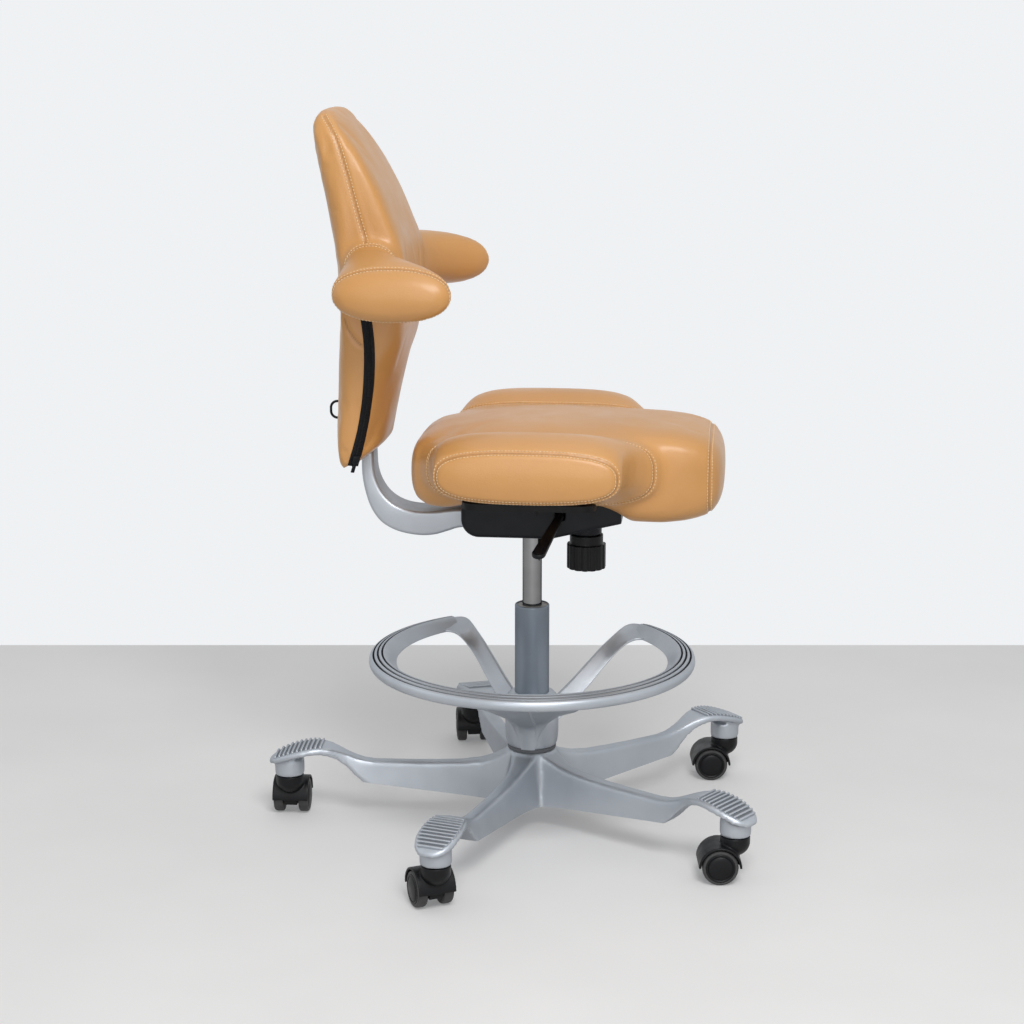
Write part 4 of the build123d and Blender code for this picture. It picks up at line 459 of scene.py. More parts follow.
bm = bmesh.new()
verts = [bm.verts.new(polar(RING_R - depth, -TREAD_SPAN, z)) for depth, z in TREAD_PROFILE]
edges = [bm.edges.new(pair) for pair in zip(verts, verts[1:] + verts[:1])]
bm.faces.new(verts)
last = bmesh.ops.spin(
    bm, geom=verts + edges, axis=(0, 0, 1), cent=(0, 0, 0), angle=math.radians(2 * TREAD_SPAN), steps=TREAD_STEPS
)["geom_last"]
bm.faces.new([v for v in last if isinstance(v, bmesh.types.BMVert)])
tread = as_mesh(bm)
# painted shade along the bottoms of the tread's grooves
painted_shade = tread.attributes.new("painted_shade", "FLOAT", "POINT")
for vert in tread.vertices:
    depth = RING_R - vert.co.xy.length / MM
    if any(abs(depth - groove) < GROOVE_HALF for groove in GROOVES):
        painted_shade.data[vert.index].value = 1.0
make_piece("ring_tread", tread, silver, "base", "silver_paint", "foot_ring", crease=34)


def smooth_rows(rows, parts):
    """More stations between the given ones, on a curve through them."""
    out = []
    for i in range(len(rows) - 1):
        near = rows[max(i - 1, 0)], rows[i], rows[i + 1], rows[min(i + 2, len(rows) - 1)]
        for part in range(parts):
            t = part / parts
            row = []
            for a, b, c, d in zip(*near):
                bend = (c - a) * t + (2 * a - 5 * b + 4 * c - d) * t**2 + (3 * b - a - 3 * c + d) * t**3
                row.append(b + bend / 2)
            out.append(tuple(row))
    return out + [tuple(rows[-1])]


# radius, angle from the web and height of a band's upper edge and of its lower one, and its flat top
BAND = (
    (234, 124.0, 253.0, 199, 122.0, 246.5, 22.0),
    (233, 134.0, 253.5, 199, 126.5, 246.5, 16.0),
    (226, 138.5, 258.0, 199, 129.0, 246.5, 8.0),
    (215, 142.0, 260.2, 196, 131.0, 246, 5.0),
    (203, 143.3, 259.0, 189, 132.6, 245, 4.0),
    (189, 143.2, 255.6, 177, 133.2, 242, 3.5),
    (172, 143.2, 248.6, 162, 134.0, 233, 3.5),
    (148, 143.5, 236.6, 142, 135.2, 216, 3.5),
    (120, 144.3, 219.0, 117, 134.2, 197, 3.5),
    (90, 145.7, 200.0, 88, 132.4, 177, 4.0),
    (60, 148.6, 182.5, 58, 129.0, 157, 4.0),
    (32, 156.0, 166.0, 30, 120.0, 139, 5.0),
)


def band_loop(bm, side, row):
    """Section of a band: a narrow top, a broad hollow slope and a straight back."""
    upper_r, upper_angle, upper_z, lower_r, lower_angle, lower_z, flat = row
    upper = polar(upper_r, side * upper_angle, upper_z)
    across = polar(lower_r, side * lower_angle, upper_z) - upper
    wide = across.length / MM
    drop = lower_z - upper_z
    outline = (
        (0.9, 0), (0.25, -0.4), (0, -1.4), (0, drop + 1), (1, drop), (wide - 1, drop), (wide, drop + 1),
        (wide, drop + 2.2), (wide - 0.7, drop + 3.2), (wide * 0.72 + flat * 0.28, drop * 0.68 + 0.9),
        (wide * 0.4 + flat * 0.6, drop * 0.36 - 0.2), (flat + 1.2, -0.9), (flat + 0.4, -0.15), (flat - 0.6, 0),
    )
    return loop_of(bm, [upper + across * (u / wide) + Vector((0, 0, w * MM)) for u, w in outline])


bm = bmesh.new()
for side in (-1, 1):
    loft(bm, [band_loop(bm, side, row) for row in smooth_rows(BAND, 5)])
make_piece("ring_bands", as_mesh(bm), silver, "base", "silver_paint", crease=40)

# radius, height of the panel, half angle, rise of the underside at the fan's edge, top, half panel
FAN = (
    (41.4, 122.5, 16.5, 1, 140, 10.0),
    (42.8, 135, 22, 4, 152, 10.4),
    (45.4, 147, 35, 9, 163, 10.9),
    (50, 157, 53, 14, 172, 11.4),
    (59, 165, 64, 14, 177, 12.2),
    (75, 173.5, 57, 11, 184, 13.2),
    (100, 186, 47, 8, 195, 14.2),
    (128, 202, 43.5, 6, 211, 15.4),
    (156, 220, 45, 5, 229, 16.6),
    (180, 237, 51, 4, 243, 17.6),
    (196, 244, 58, 2, 248.6, 18.2),
    (207, 246, 62, 1, 252, 18.5),
)
# the panel stands out below and ends in a lip, and both keep within these shares of the fan's half angle
PANEL_PROUD = 3.6
PANEL_LIP = 1.7
PANEL_SHARE = 0.86
LIP_SHARE = 0.93
# the scoops beside it rise with this power, in so many steps, and leave at least this thickness
SCOOP_POWER = 1.5
SCOOP_STEPS = 6
WEB_LEAST = 2.0


def fan_loop(bm, row):
    """Section round the web at a radius: panel and scoops below, plain above."""
    radius, under, half, rise, top, half_panel = row
    panel = min(math.degrees(half_panel / radius), half * PANEL_SHARE)
    lip = min(panel + math.degrees(PANEL_LIP / radius), half * LIP_SHARE)
    marks = [0, panel / 2, panel] + [lip + (half - lip) * step / SCOOP_STEPS for step in range(SCOOP_STEPS + 1)]
    sides = []
    for angle in marks:
        lift = 0 if angle <= panel else PANEL_PROUD + rise * ((angle - lip) / (half - lip)) ** SCOOP_POWER
        sides.append((angle, min(under + lift, top - WEB_LEAST)))
    below = [(-angle, z) for angle, z in reversed(sides[1:])] + sides
    above = [(angle, top) for angle, z in reversed(below)]
    return loop_of(bm, [polar(radius, angle, z) for angle, z in below + above])


bm = bmesh.new()
loops = [fan_loop(bm, row) for row in smooth_rows(FAN, 4)]
loft(bm, loops, ends=False)
for loop in (loops[0], loops[-1]):
    for step in range(len(loop) // 2 - 1):
        bm.faces.new((loop[step], loop[step + 1], loop[-2 - step], loop[-1 - step]))
make_piece("ring_web", as_mesh(bm), silver, "base", "silver_paint", crease=36)

RING_HUB_PROFILE = (
    (25.1, 121.1), (34.4, 121.1), (35.6, 121.6), (36.4, 122.8), (37.6, 127), (38.5, 134), (39, 145), (39, 176),
    (38.2, 188), (36, 195), (32, 199), (25.1, 200),
)
bm = bmesh.new()
turned(bm, RING_HUB_PROFILE, HUB_STEPS)
make_piece("ring_hub", as_mesh(bm), silver, "base", "silver_paint", crease=50)

# Column
# A silver painted steel tube pressed into the hub, with a bright gas cylinder that slides in its bush,
# and the steel pieces of the lift inside it.
tube_paint, shader = finish(
    "silver_tube", tint=(14.0, 4.0, (0.215, 0.25, 0.295), (0.25, 0.285, 0.33)), rough=(60.0, 3.0, 0.32, 0.4),
    grain=(1500.0, 1.0, 0.0001, 0.3), metallic=0.5,
)
shader.inputs["Specular Tint"].default_value = (0.2, 0.21, 0.23, 1)
chrome, shader = finish(
    "bright_chrome", tint=(20.0, 2.0, (0.23, 0.23, 0.235), (0.31, 0.31, 0.315)), rough=(45.0, 3.0, 0.07, 0.16),
    metallic=1.0,
)
shader.inputs["Specular Tint"].default_value = (0.12, 0.12, 0.12, 1)
gasket_rubber, shader = finish(
    "dark_gasket", tint=(60.0, 3.0, (0.1, 0.106, 0.115), (0.14, 0.146, 0.155)), rough=(80.0, 3.0, 0.5, 0.7)
)
bush_plastic, shader = finish(
    "bush_acetal", tint=(40.0, 2.0, (0.42, 0.42, 0.4), (0.5, 0.5, 0.48)), rough=(120.0, 2.0, 0.42, 0.58)
)

dress(tube_paint, "column_tube")
dress(chrome, "gas_cylinder")
dress(gasket_rubber, "ring_gasket")
dress(bush_plastic, "guide_bush")
dress(steel, "column_end_plate", "thrust_bearing", "piston_rod", "retaining_clip", "release_pin")

# Tilt mechanism
# A black painted steel tub with a slide plate on its rim, hung on two pivot bolts, with the block that
# clamps it to the gas cylinder, a spring, a fluted tension knob below it and a lever on each side.
black_paint, shader = finish(
    "black_coat", tint=(18.0, 3.0, (0.006, 0.007, 0.009), (0.012, 0.0135, 0.017)), rough=(35.0, 3.0, 0.3, 0.46),
    grain=(1100.0, 1.0, 0.00012, 0.5),
)
shader.inputs["Specular IOR Level"].default_value = 0.2
dress(black_paint, "slide_plate", "tilt_block", "pivot_bolts")
dress(steel, "knob_spindle", "tilt_spring")
for node, body, material, slot, voxel, rounds in (
    ("mechanism_tub", "tilt_frame", black_paint, "black_paint", 1.5, 3),
    ("tension_knob", "tension_knob", black_plastic, "black_plastic", 0.9, 2),
    ("height_lever", "height_lever", black_plastic, "black_plastic", 0.9, 3),
    ("tilt_lock_lever", "tilt_lock_lever", black_plastic, "black_plastic", 0.9, 3),
):
    make_piece(f"{node}_moulding", rounded_copy(node, voxel, rounds), material, body, slot, node)

# Back arm
# A J-shaped casting bolted to the tub, wide below and slim where it runs up into the back. It is
# sprayed silver like the base.

# place and height of its outer face and of its inner one, and its half width, from the tub upwards
ARM_PATH = (
    (-42, 451, -42, 477, 32.5),
    (-96, 450, -96, 477, 32.5),
    (-118, 444, -116, 475.5, 32.5),
    (-138, 438, -132, 473, 32.5),
    (-160, 436.5, -150, 471.5, 32.0),
    (-185, 440, -171, 472.5, 31.0),
    (-204, 447, -188, 477, 29.5),
    (-219, 458, -202, 485, 28.0),
    (-231, 476, -212.5, 496, 26.0),
    (-239, 500, -220.5, 511, 24.0),
    (-243, 523, -225, 528, 22.5),
    (-243.5, 548, -226, 548, 22.0),
    (-248, 758, -231, 758, 22.0),
)
ARM_ROUND = 5.0
CORNER_STEPS = 5


def round_box(half_wide, half_high, corner):
    """Points round a rectangle with round corners."""
    points = []
    for quarter in range(4):
        x = (half_wide - corner) * (1 if quarter in (0, 3) else -1)
        y = (half_high - corner) * (1 if quarter in (0, 1) else -1)
        for step in range(CORNER_STEPS + 1):
            angle = math.pi / 2 * (quarter + step / CORNER_STEPS)
            points.append((x + corner * math.cos(angle), y + corner * math.sin(angle)))
    return points


bm = bmesh.new()
loops = []
for outer_x, outer_z, inner_x, inner_z, half in smooth_rows(ARM_PATH[:-1], 4) + [ARM_PATH[-1]]:
    outer, inner = Vector((outer_x, 0, outer_z)), Vector((inner_x, 0, inner_z))
    thick = (inner - outer).length
    section = round_box(thick / 2, half, ARM_ROUND)
    points = [(outer + inner) / 2 + (inner - outer) * (u / thick) + Vector((0, v, 0)) for u, v in section]
    loops.append(loop_of(bm, [point * MM for point in points]))
loft(bm, loops)
make_piece("back_arm_casting", as_mesh(bm), silver, "tilt_frame", "silver_paint", "back_arm", crease=40)
dress(steel, "arm_bolts")

# Seat cushion
# A moulded foam saddle in caramel leather, screwed to a black pan: a long spine with a front lobe and two
# side flaps, each sewn on round its root and closed by an oval cap, all with double rows of light thread.
leather, shader = finish(
    "caramel_leather", tint=(5.5, 5.0, (0.54, 0.262, 0.078), (0.62, 0.31, 0.1)), rough=(22.0, 4.0, 0.38, 0.52)
)
marked(leather, shader, "seam", (0.2, 0.08, 0.022))
look = leather.node_tree
place = look.nodes.new("ShaderNodeTexCoord")
pebbles = look.nodes.new("ShaderNodeTexVoronoi")
pebbles.feature = "SMOOTH_F1"
pebbles.inputs["Scale"].default_value = 560.0
look.links.new(place.outputs["Object"], pebbles.inputs["Vector"])
grain = dented(look, pebbles.outputs["Distance"], 0.0004, 0.5, shader.inputs["Normal"])
dented(look, noise(look, 16.0, 4.0), 0.002, 0.4, grain.inputs["Normal"])
shader.inputs["Specular IOR Level"].default_value = 0.5
shader.inputs["Coat Weight"].default_value = 0.28
shader.inputs["Coat Roughness"].default_value = 0.24

thread, shader = finish(
    "light_thread", tint=(400.0, 2.0, (0.72, 0.5, 0.27), (0.86, 0.66, 0.42)), rough=(500.0, 2.0, 0.45, 0.65)
)

# distance forward, half width, foot, top and squareness of the spine
SPINE = (
    (-166, 52, 528, 560, 2.6),
    (-163, 80, 508, 573, 3.0),
    (-155, 98, 496, 585, 3.6),
    (-138, 110, 489, 594, 4.4),
    (-112, 116, 488, 599, 4.8),
    (-88, 119, 493, 604, 5.0),
    (-20, 120, 501, 609, 5.0),
    (40, 120, 502, 611, 5.0),
    (98, 120, 499, 610, 5.2),
    (124, 120, 489, 609.5, 5.2),
    (146, 119, 475, 609, 5.2),
    (190, 117, 474, 607, 5.2),
    (220, 114, 477, 604, 5.0),
    (240, 110, 481, 600, 4.6),
    (256, 103, 487, 593, 4.0),
    (267, 90, 498, 582, 3.2),
    (273, 66, 516, 566, 2.7),
)
# distance out, rear, front, foot, top and squareness of a flap
FLAP = (
    (0, -140, 176, 503, 600, 3.4),
    (106, -146, 202, 502, 603, 3.4),
    (118, -139, 190, 505, 601, 3.4),
    (128, -133, 180, 508, 602, 3.4),
    (142, -127, 167, 514, 609, 3.4),
    (158, -122, 156, 519, 615, 3.4),
    (178, -118, 148, 523, 617, 3.4),
    (202, -115, 143, 526, 614, 3.4),
    (220, -113, 141, 528, 608, 3.2),
    (230, -110, 137, 530, 601, 3.0),
    (236, -101, 128, 538, 591, 2.7),
    (239, -78, 102, 551, 578, 2.4),
)
# middles of the seams round the lobe's face, and round a flap's root and its cap
LOBE_SEAM = (254, 0, 545)
FLAP_SEAMS = ((15, 129, 558), (13, 230, 565))
# metres from which a seam's line is thrown on to the skin, and mm between the points that are searched
THROW = 0.4
SEAM_STEP = 1.5
# a seam's hold on the leather fades out over this distance, and foam swells it by this at most, in so many steps
SEAM_HOLD = 14.0
SWELL_MOST = 4.0
SWELL_STEPS = 20
# depth and width of a seam, height, place and width of the pillow beside it, dark line and its width
SEAM_DEEP, SEAM_WIDE = 1.5, 2.2
PILLOW_HIGH, PILLOW_AWAY, PILLOW_WIDE = 0.5, 7.0, 4.0
SEAM_DARK, SEAM_DARK_WIDE = 0.6, 1.3
# half length, half width and half height of a stitch, its lift off the skin, and the rows beside a seam
STITCH = (2.0, 0.75, 0.6)
STITCH_LIFT = 0.15
STITCH_PITCH = 4.6
SEAT_ROWS = (-3.4, 3.4)
facing_x = Matrix(((0, 0, 1), (1, 0, 0), (0, 1, 0))).to_4x4()
facing_y = Matrix(((1, 0, 0), (0, 0, -1), (0, 1, 0))).to_4x4()


def oval_loop(bm, place, half_wide, half_high, power, count=64):
    """Adds a loop between an ellipse and a box, in the plane of a matrix."""
    points = []
    for step in range(count):
        angle = 2 * math.pi * (step + 0.5) / count
        c, s = math.cos(angle), math.sin(angle)
        reach = (abs(c) ** power + abs(s) ** power) ** (-1 / power) * MM
        points.append(place @ Vector((half_wide * c * reach, half_high * s * reach, 0)))
    return loop_of(bm, points)


def sideways(bm, rows):
    """A form on each side of the chair, from rows of reach, rear, front, foot, top and squareness."""
    for side in (-1, 1):
        loops = []
        for reach, rear, front, foot, top, power in rows:
            at = Vector(((rear + front) / 2, side * reach, (foot + top) / 2)) * MM
            place = Matrix.Translation(at) @ facing_y
            loops.append(oval_loop(bm, place, (front - rear) / 2, (top - foot) / 2, power))
        loft(bm, loops)


def seam_round(tree, centre, flat_axis, count=200):
    """Seam round a form, where a plane across an axis cuts its skin."""
    up = Vector((0, 0, 1))
    side = up.cross(Vector(flat_axis))
    seam = []
    for step in range(count + 1):
        angle = 2 * math.pi * step / count
        hit, normal, _, _ = tree.ray_cast(Vector(centre) * MM, side * math.cos(angle) + up * math.sin(angle))
        seam.append((hit, normal))
    return seam


def seam_along(tree, points, towards, parts=12):
    """Seam through points in mm, thrown on to the skin from outside."""
    seam = []
    for point in smooth_rows(points, parts):
        hit, normal, _, _ = tree.ray_cast(Vector(point) * MM - Vector(towards) * THROW, Vector(towards))
        if hit:
            seam.append((hit, normal))
    return seam


def skin_tree(mesh):
    """Search tree over the faces of a mesh."""
    return BVHTree.FromPolygons([v.co.copy() for v in mesh.vertices], [tuple(p.vertices) for p in mesh.polygons])


def seam_search(seams):
    """Search tree over points set close along the seams."""
    points = []
    for seam in seams:
        for (near, _), (far, _) in zip(seam, seam[1:]):
            steps = max(1, round((far - near).length / (SEAM_STEP * MM)))
            points += [near.lerp(far, step / steps) for step in range(steps)]
    search = KDTree(len(points))
    for index, point in enumerate(points):
        search.insert(point, index)
    search.balance()
    return search


def stuffed(mesh, search):
    """Lets the foam swell the leather between its seams."""
    skin = bpy.data.objects.new("skin", mesh)
    bpy.context.scene.collection.objects.link(skin)
    held = skin.vertex_groups.new(name="held")
    for vert in mesh.vertices:
        held.add([vert.index], max(0.0, 1 - search.find(vert.co)[2] / (SEAM_HOLD * MM)), "REPLACE")
    cloth = skin.modifiers.new("swell", "CLOTH")
    cloth.settings.quality = 4
    cloth.settings.tension_stiffness = 30
    cloth.settings.compression_stiffness = 30
    cloth.settings.shear_stiffness = 10
    cloth.settings.bending_stiffness = 3
    cloth.settings.use_pressure = True
    cloth.settings.uniform_pressure_force = 4
    cloth.settings.vertex_group_mass = "held"
    cloth.settings.effector_weights.gravity = 0
    cloth.collision_settings.use_collision = False
    for step in range(1, SWELL_STEPS + 1):
        bpy.context.scene.frame_set(step)
    swollen = bpy.data.meshes.new_from_object(skin.evaluated_get(bpy.context.evaluated_depsgraph_get()))
    for before, after in zip(mesh.vertices, swollen.vertices):
        move = after.co - before.co
        if move.length > SWELL_MOST * MM:
            after.co = before.co + move * (SWELL_MOST * MM / move.length)
    bpy.data.objects.remove(skin)
    bpy.context.scene.frame_set(1)
    return swollen


def sewn_in(mesh, search):
    """Draws the leather down along its seams and marks where they run."""
    finer = baked(mesh, ("SUBSURF", {"levels": 1, "render_levels": 1}))
    mark = finer.attributes.new("seam", "FLOAT", "POINT")
    normals = [v.normal.copy() for v in finer.vertices]
    for vert, normal in zip(finer.vertices, normals):
        away = search.find(vert.co)[2] / MM
        pillow = PILLOW_HIGH * math.exp(-(((away - PILLOW_AWAY) / PILLOW_WIDE) ** 2))
        vert.co += normal * (pillow - SEAM_DEEP * math.exp(-((away / SEAM_WIDE) ** 2))) * MM
        mark.data[vert.index].value = SEAM_DARK * math.exp(-((away / SEAM_DARK_WIDE) ** 2))
    finer.update()
    return finer


def stitch(bm, tree, seam, aside):
    """A row of stitches beside a seam, laid on the skin."""
    travelled = 0.0
    for (near, near_normal), (far, _) in zip(seam, seam[1:]):
        ahead = far - near
        while travelled < ahead.length / MM:
            spot = near + ahead.normalized() * travelled * MM
            spot += near_normal.cross(ahead).normalized() * aside * MM
            hit, normal, _, _ = tree.find_nearest(spot)
            side = normal.cross(ahead).normalized()
            along = side.cross(normal)
            lie = Matrix((along, side, normal)).transposed().to_4x4()
            place = Matrix.Translation(hit + normal * STITCH_LIFT * MM)
            size = Matrix.Diagonal((*(s * MM for s in STITCH), 1))
            bmesh.ops.create_icosphere(bm, subdivisions=1, radius=1.0, matrix=place @ lie @ size)
            travelled += STITCH_PITCH
        travelled -= ahead.length / MM


bm = bmesh.new()
loops = []
for x, half, foot, top, power in SPINE:
    place = Matrix.Translation((x * MM, 0, (foot + top) / 2 * MM)) @ facing_x
    loops.append(oval_loop(bm, place, half, (top - foot) / 2, power))
loft(bm, loops)
sideways(bm, FLAP)
seat_skin = fused(bm, voxel=5.0, rounds=9)
tree = skin_tree(seat_skin)
seat_seams = [seam_round(tree, LOBE_SEAM, (1, 0, 0))]
for side in (-1, 1):
    for x, y, z in FLAP_SEAMS:
        seat_seams.append(seam_round(tree, (x, side * y, z), (0, side, 0)))
search = seam_search(seat_seams)
seat_skin = sewn_in(stuffed(seat_skin, search), search)
seat_leather = make_piece("seat_leather", seat_skin, leather, "seat", "tan_leather", "seat_cushion")
tree = skin_tree(seat_skin)
bm = bmesh.new()
for seam in seat_seams:
    for aside in SEAT_ROWS:
        stitch(bm, tree, seam, aside)
make_piece("seat_thread", as_mesh(bm), thread, "seat", "tan_leather")
dress(black_plastic, "seat_pan")
dress(steel, "seat_screws")

# Back cushion
# A padded blade in the same leather over a black shell that slides on the back arm, with two wings at
# elbow height whose oval ends are sewn in, a seam down each side and a wire loop that frees the slide.

# height, rear, front and half width of the body, and its front corners' depth and width
BODY = (
    (528, -257, -217, 84, 28, 62),
    (546, -262, -212, 95, 36, 72),
    (566, -264, -208, 100, 40, 76),
    (602, -263, -202, 104, 42, 78),
    (650, -260, -193, 106, 40, 70),
    (690, -259, -183, 106, 32, 52),
    (726, -258, -173, 106, 22, 32),
    (790, -259, -167, 105, 16, 18),
    (838, -263, -166, 104, 13, 13),
    (884, -268, -182, 102, 13, 13),
    (925, -275, -199, 100, 13, 13),
    (966, -284, -220, 96, 13, 13),
    (1000, -292, -242, 90, 13, 13),
    (1018, -295, -256, 82, 12, 12),
    (1030, -293, -264, 70, 10, 10),
    (1037, -287, -271, 52, 6, 6),
)
# distance out, rear, front, foot, top and squareness of a wing
WING = (
    (60, -250, -182, 742, 888, 3.0),
    (92, -250, -180, 754, 876, 2.8),
    (104, -249, -177, 764, 866, 2.6),
    (116, -247, -172, 771, 859, 2.4),
    (132, -246, -163, 775, 855, 2.3),
    (152, -245, -149, 775, 854, 2.3),
    (178, -245, -125, 772, 852, 2.3),
    (200, -246, -97, 769, 848, 2.3),
    (212, -246.5, -87, 768, 844, 2.3),
    (221, -245, -86, 769.5, 839, 2.3),
    (228, -241, -90, 773, 833, 2.3),
    (233, -235, -97, 778, 826, 2.3),
    (236.5, -225, -109, 785, 818, 2.2),
    (238.8, -207, -128, 794, 808, 2.2),
)
# round of the rear corners, its share of the thickness at most, and steps round each corner
REAR_ROUND = 12
REAR_SHARE = 0.4
BODY_STEPS = 7
# a point of the slanting hem at the foot of the back, and the way that it faces
HEM_AT = (-252, 0, 546)
HEM_FACING = (0.52, 0, -0.855)
# the line of the side seam, of the zip below it and of the pocket behind that, as places forward and heights
SIDE_LINE = ((-279, 1030), (-267, 1014), (-256, 991), (-243, 951), (-232, 911), (-222, 876), (-217, 862))
ZIP_LINE = ((-219, 757), (-217, 742), (-215, 715), (-216, 680), (-220, 645), (-227, 606), (-235, 574), (-240, 558))
POCKET_LINE = ((-250, 757), (-244, 742), (-233, 727), (-226, 721))
# middles of the seams round a wing's root and its cap
WING_SEAMS = ((-207, 115, 814), (-168, 219, 806))
BACK_ROWS = (-3.2, 3.2)


def body_loop(bm, row):
    """Section across the back: small round corners behind, broader ones in front."""
    z, rear, front, half, deep, wide = row
    small = min(REAR_ROUND, REAR_SHARE * (front - rear))
    ahead, behind = (front - deep, half - wide, deep, wide), (rear + small, half - small, small, small)
    points = []
    for quarter, side, corner in ((0, 1, ahead), (1, 1, behind), (2, -1, behind), (3, -1, ahead)):
        for step in range(BODY_STEPS + 1):
            angle = math.pi / 2 * (quarter + step / BODY_STEPS)
            x = corner[0] + corner[2] * math.cos(angle)
            y = side * corner[1] + corner[3] * math.sin(angle)
            points.append(Vector((x, y, z)) * MM)
    return loop_of(bm, points)


bm = bmesh.new()
loft(bm, [body_loop(bm, row) for row in smooth_rows(BODY, 3)])
hem = bmesh.ops.bisect_plane(
    bm, geom=bm.verts[:] + bm.edges[:] + bm.faces[:], plane_co=Vector(HEM_AT) * MM, plane_no=HEM_FACING,
    clear_outer=True,
)["geom_cut"]
bmesh.ops.edgeloop_fill(bm, edges=[e for e in hem if isinstance(e, bmesh.types.BMEdge)])
sideways(bm, WING)
back_skin = fused(bm, voxel=4.6, rounds=7)
tree = skin_tree(back_skin)
back_seams = []
pocket_seams = []
zip_seams = []
for side in (-1, 1):
    inward = (0, -side, 0)
    back_seams.append(seam_along(tree, [(x, 0, z) for x, z in SIDE_LINE], inward))
    for x, y, z in WING_SEAMS:
        back_seams.append(seam_round(tree, (x, side * y, z), (0, side, 0)))
    pocket_seams.append(seam_along(tree, [(x, 0, z) for x, z in POCKET_LINE], inward))
    zip_seams.append(seam_along(tree, [(x, 0, z) for x, z in ZIP_LINE], inward))
back_skin = stuffed(back_skin, seam_search(back_seams + pocket_seams + zip_seams))
back_skin = sewn_in(back_skin, seam_search(back_seams + pocket_seams))
back_leather = make_piece("back_leather", back_skin, leather, "back", "tan_leather", "back_cushion")
tree = skin_tree(back_skin)
bm = bmesh.new()
for seam in back_seams:
    for aside in BACK_ROWS:
        stitch(bm, tree, seam, aside)
make_piece("back_thread", as_mesh(bm), thread, "back", "tan_leather")
dress(black_plastic, "back_shell")
dress(black_paint, "release_loop")

# Zips
# Black woven tape with a nylon coil down each side of the back, and a slider at its lower end. It
# closes the leather cover, and its tail hangs past the hem.
zip_tape, shader = finish(
    "black_tape", tint=(900.0, 2.0, (0.002, 0.002, 0.003), (0.009, 0.009, 0.011)), rough=(300.0, 2.0, 0.55, 0.8),
    grain=(1300.0, 1.0, 0.0002, 0.7),
)
shader.inputs["Specular IOR Level"].default_value = 0.2

# place across the tape and height over the leather, round its section
TAPE_SECTION = (
    (-7.6, -0.8), (-7.6, 0.7), (-6.6, 1.1), (-2.6, 1.3), (-2.2, 2.0), (0, 2.6), (2.2, 2.0), (2.6, 1.3), (6.6, 1.1),
    (7.6, 0.7), (7.6, -0.8),
)
# half sizes of a turn of the coil along, across and over the tape, and its height
COIL_TURN = (0.8, 2.7, 0.8)
COIL_RISE = 2.3
COIL_PITCH = 2.2
# the tape hangs on past the leather by this, and the slider stops at this point of the line
TAIL = 9.0
SLIDER_POINT = -4
# along, across and over the tape: the middle and the size of a slider's body and of its pull, and their round
SLIDER = (((0, 0, 3.4), (12, 9, 5), 1.7), ((11, 0, 4.4), (19, 5.4, 1.5), 0.6))
bm = bmesh.new()
teeth = bmesh.new()
sliders = bmesh.new()
for seam in zip_seams:
    spot, normal = seam[SLIDER_POINT]
    hang = (seam[-1][0] - spot).normalized()
    side = normal.cross(hang).normalized()
    lie = Matrix.Translation(spot) @ Matrix((hang, side, hang.cross(side))).transposed().to_4x4()
    for middle, size, edge in SLIDER:
        shape = lie @ Matrix.Translation(Vector(middle) * MM) @ Matrix.Diagonal((*(s * MM for s in size), 1))
        block(sliders, shape, edge, segments=3)
    seam.append((seam[-1][0] + hang * TAIL * MM, seam[-1][1]))
    loops = []
    travelled = 0.0
    for index, (spot, normal) in enumerate(seam):
        onward = seam[min(index + 1, len(seam) - 1)][0] - seam[max(index - 1, 0)][0]
        ahead = onward.normalized()
        side = normal.cross(ahead).normalized()
        rise = ahead.cross(side)
        loops.append(loop_of(bm, [spot + (side * u + rise * w) * MM for u, w in TAPE_SECTION]))
        step = (seam[min(index + 1, len(seam) - 1)][0] - spot).length / MM
        while travelled < step:
            at = spot + (ahead * travelled + rise * COIL_RISE) * MM
            lie = Matrix.Translation(at) @ Matrix((ahead, side, rise)).transposed().to_4x4()
            size = Matrix.Diagonal((*(s * MM for s in COIL_TURN), 1))
            bmesh.ops.create_icosphere(teeth, subdivisions=1, radius=1.0, matrix=lie @ size)
            travelled += COIL_PITCH
        travelled -= step
    loft(bm, loops)
make_piece("back_zip_tapes", as_mesh(bm), zip_tape, "back", "zip_tape", "back_zips", crease=40)
make_piece("back_zip_coils", as_mesh(teeth), black_plastic, "back", "zip_tape")
make_piece("back_zip_sliders", as_mesh(sliders), black_paint, "back", "black_paint", crease=40)

# Studio
# A pale floor that ends at the foot of a white backdrop, soft lamps and the camera of the photograph.
VIEW_FROM = Vector((0.2944, -3.0801, 1.1787))
VIEW_TURN = 6.0
VIEW_PITCH = 77.06
VIEW_LENS = 77.83
# metres from the camera to the floor's far edge, and half the floor
FLOOR_END = 4.01
FLOOR_HALF = 9.0
floor_paint, shader = finish("pale_floor", tint=(3.0, 3.0, (0.66, 0.65, 0.64), (0.7, 0.69, 0.68)))
shader.inputs["Roughness"].default_value = 0.75


def to_the_eye(tree, otherwise, seen, socket):
    """A strength for what the camera, a mirror or glass sees, and another for the light on the object."""
    path = tree.nodes.new("ShaderNodeLightPath")
    either = path.outputs["Is Camera Ray"]
    for kind in ("Is Glossy Ray", "Is Transmission Ray"):
        most = tree.nodes.new("ShaderNodeMath")
        most.operation = "MAXIMUM"
        tree.links.new(either, most.inputs[0])
        tree.links.new(path.outputs[kind], most.inputs[1])
        either = most.outputs["Value"]
    level = tree.nodes.new("ShaderNodeMapRange")
    level.inputs["To Min"].default_value = otherwise
    level.inputs["To Max"].default_value = seen
    tree.links.new(either, level.inputs["Value"])
    tree.links.new(level.outputs["Result"], socket)


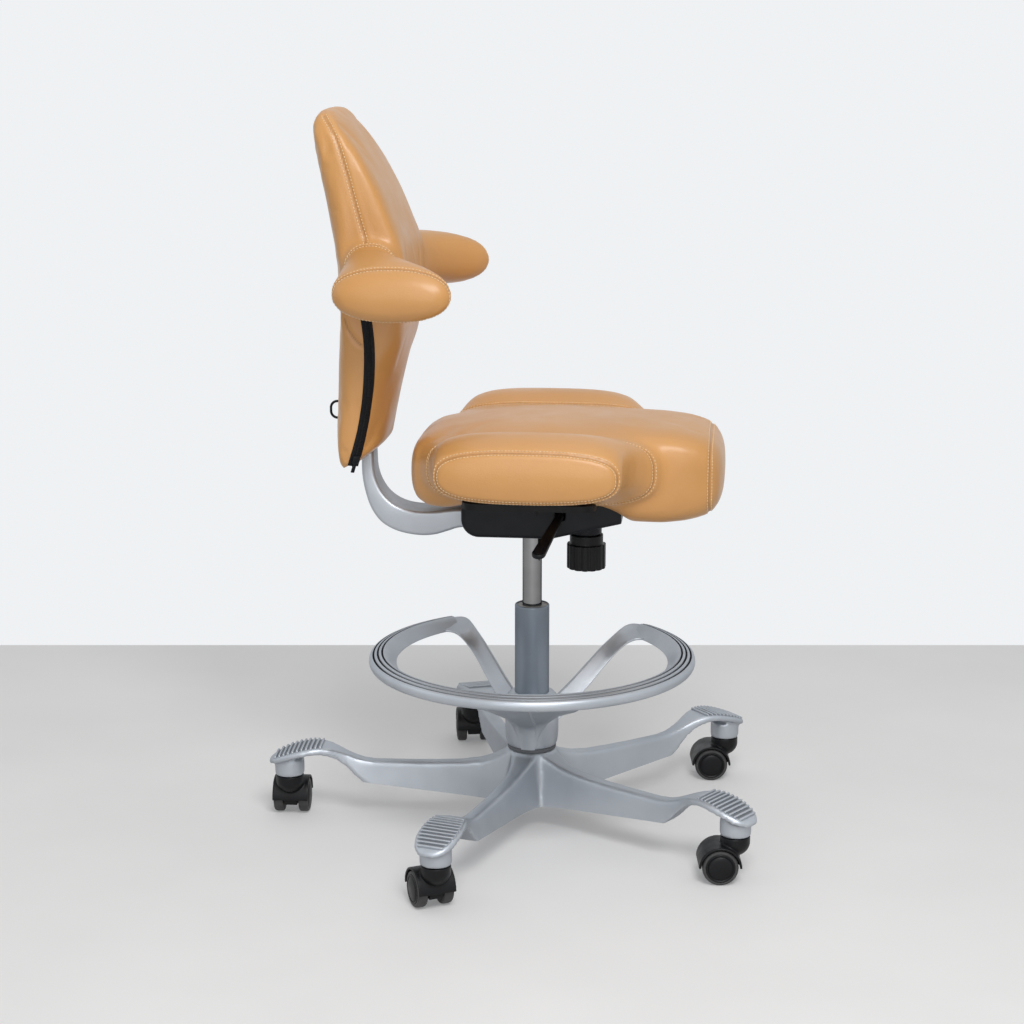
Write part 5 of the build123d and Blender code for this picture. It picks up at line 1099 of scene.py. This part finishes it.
shader.inputs["Emission Color"].default_value = (0.97, 0.98, 1.0, 1)
to_the_eye(floor_paint.node_tree, otherwise=0.0, seen=0.17, socket=shader.inputs["Emission Strength"])
bm = bmesh.new()
place = Matrix.Translation(VIEW_FROM * Vector((1, 1, 0))) @ Matrix.Rotation(math.radians(VIEW_TURN), 4, "Z")
place = place @ Matrix.Translation((0, FLOOR_END - FLOOR_HALF, 0))
bmesh.ops.create_grid(bm, x_segments=1, y_segments=1, size=FLOOR_HALF, matrix=place)
studio_floor = bpy.data.objects.new("studio_floor", as_mesh(bm))
studio_floor.data.materials.append(floor_paint)
bpy.context.scene.collection.objects.link(studio_floor)

world = bpy.data.worlds.new("studio")
bpy.context.scene.world = world
world.use_nodes = True
room = world.node_tree.nodes["Background"]
room.inputs["Color"].default_value = (0.96, 0.98, 1.0, 1)
to_the_eye(world.node_tree, otherwise=0.3, seen=0.9, socket=room.inputs["Strength"])


def softbox(name, at, aim, size, power):
    """A square lamp that looks at a point."""
    lamp = bpy.data.lights.new(name, "AREA")
    lamp.shape = "SQUARE"
    lamp.size = size
    lamp.energy = power
    holder = bpy.data.objects.new(name, lamp)
    holder.location = at
    holder.rotation_euler = (Vector(aim) - Vector(at)).to_track_quat("-Z", "Y").to_euler()
    bpy.context.scene.collection.objects.link(holder)


softbox("key_lamp", (0.7, -2.3, 2.8), (0, 0, 0.6), size=1.2, power=60)
softbox("front_lamp", (0.2, -3.3, 1.3), (0, 0, 0.6), size=2.0, power=22)
softbox("top_lamp", (0.1, 0.1, 3.0), (0, 0, 0.5), size=2.2, power=9)
softbox("rim_lamp", (-2.6, -0.4, 1.9), (0, 0, 0.6), size=1.4, power=3)

camera = bpy.data.cameras.new("camera")
camera.sensor_width = 36.0
camera.lens = VIEW_LENS
holder = bpy.data.objects.new("camera", camera)
holder.location = VIEW_FROM
holder.rotation_euler = (math.radians(VIEW_PITCH), 0, math.radians(VIEW_TURN))
bpy.context.scene.collection.objects.link(holder)
bpy.context.scene.camera = holder
bpy.context.scene.view_settings.view_transform = "Standard"
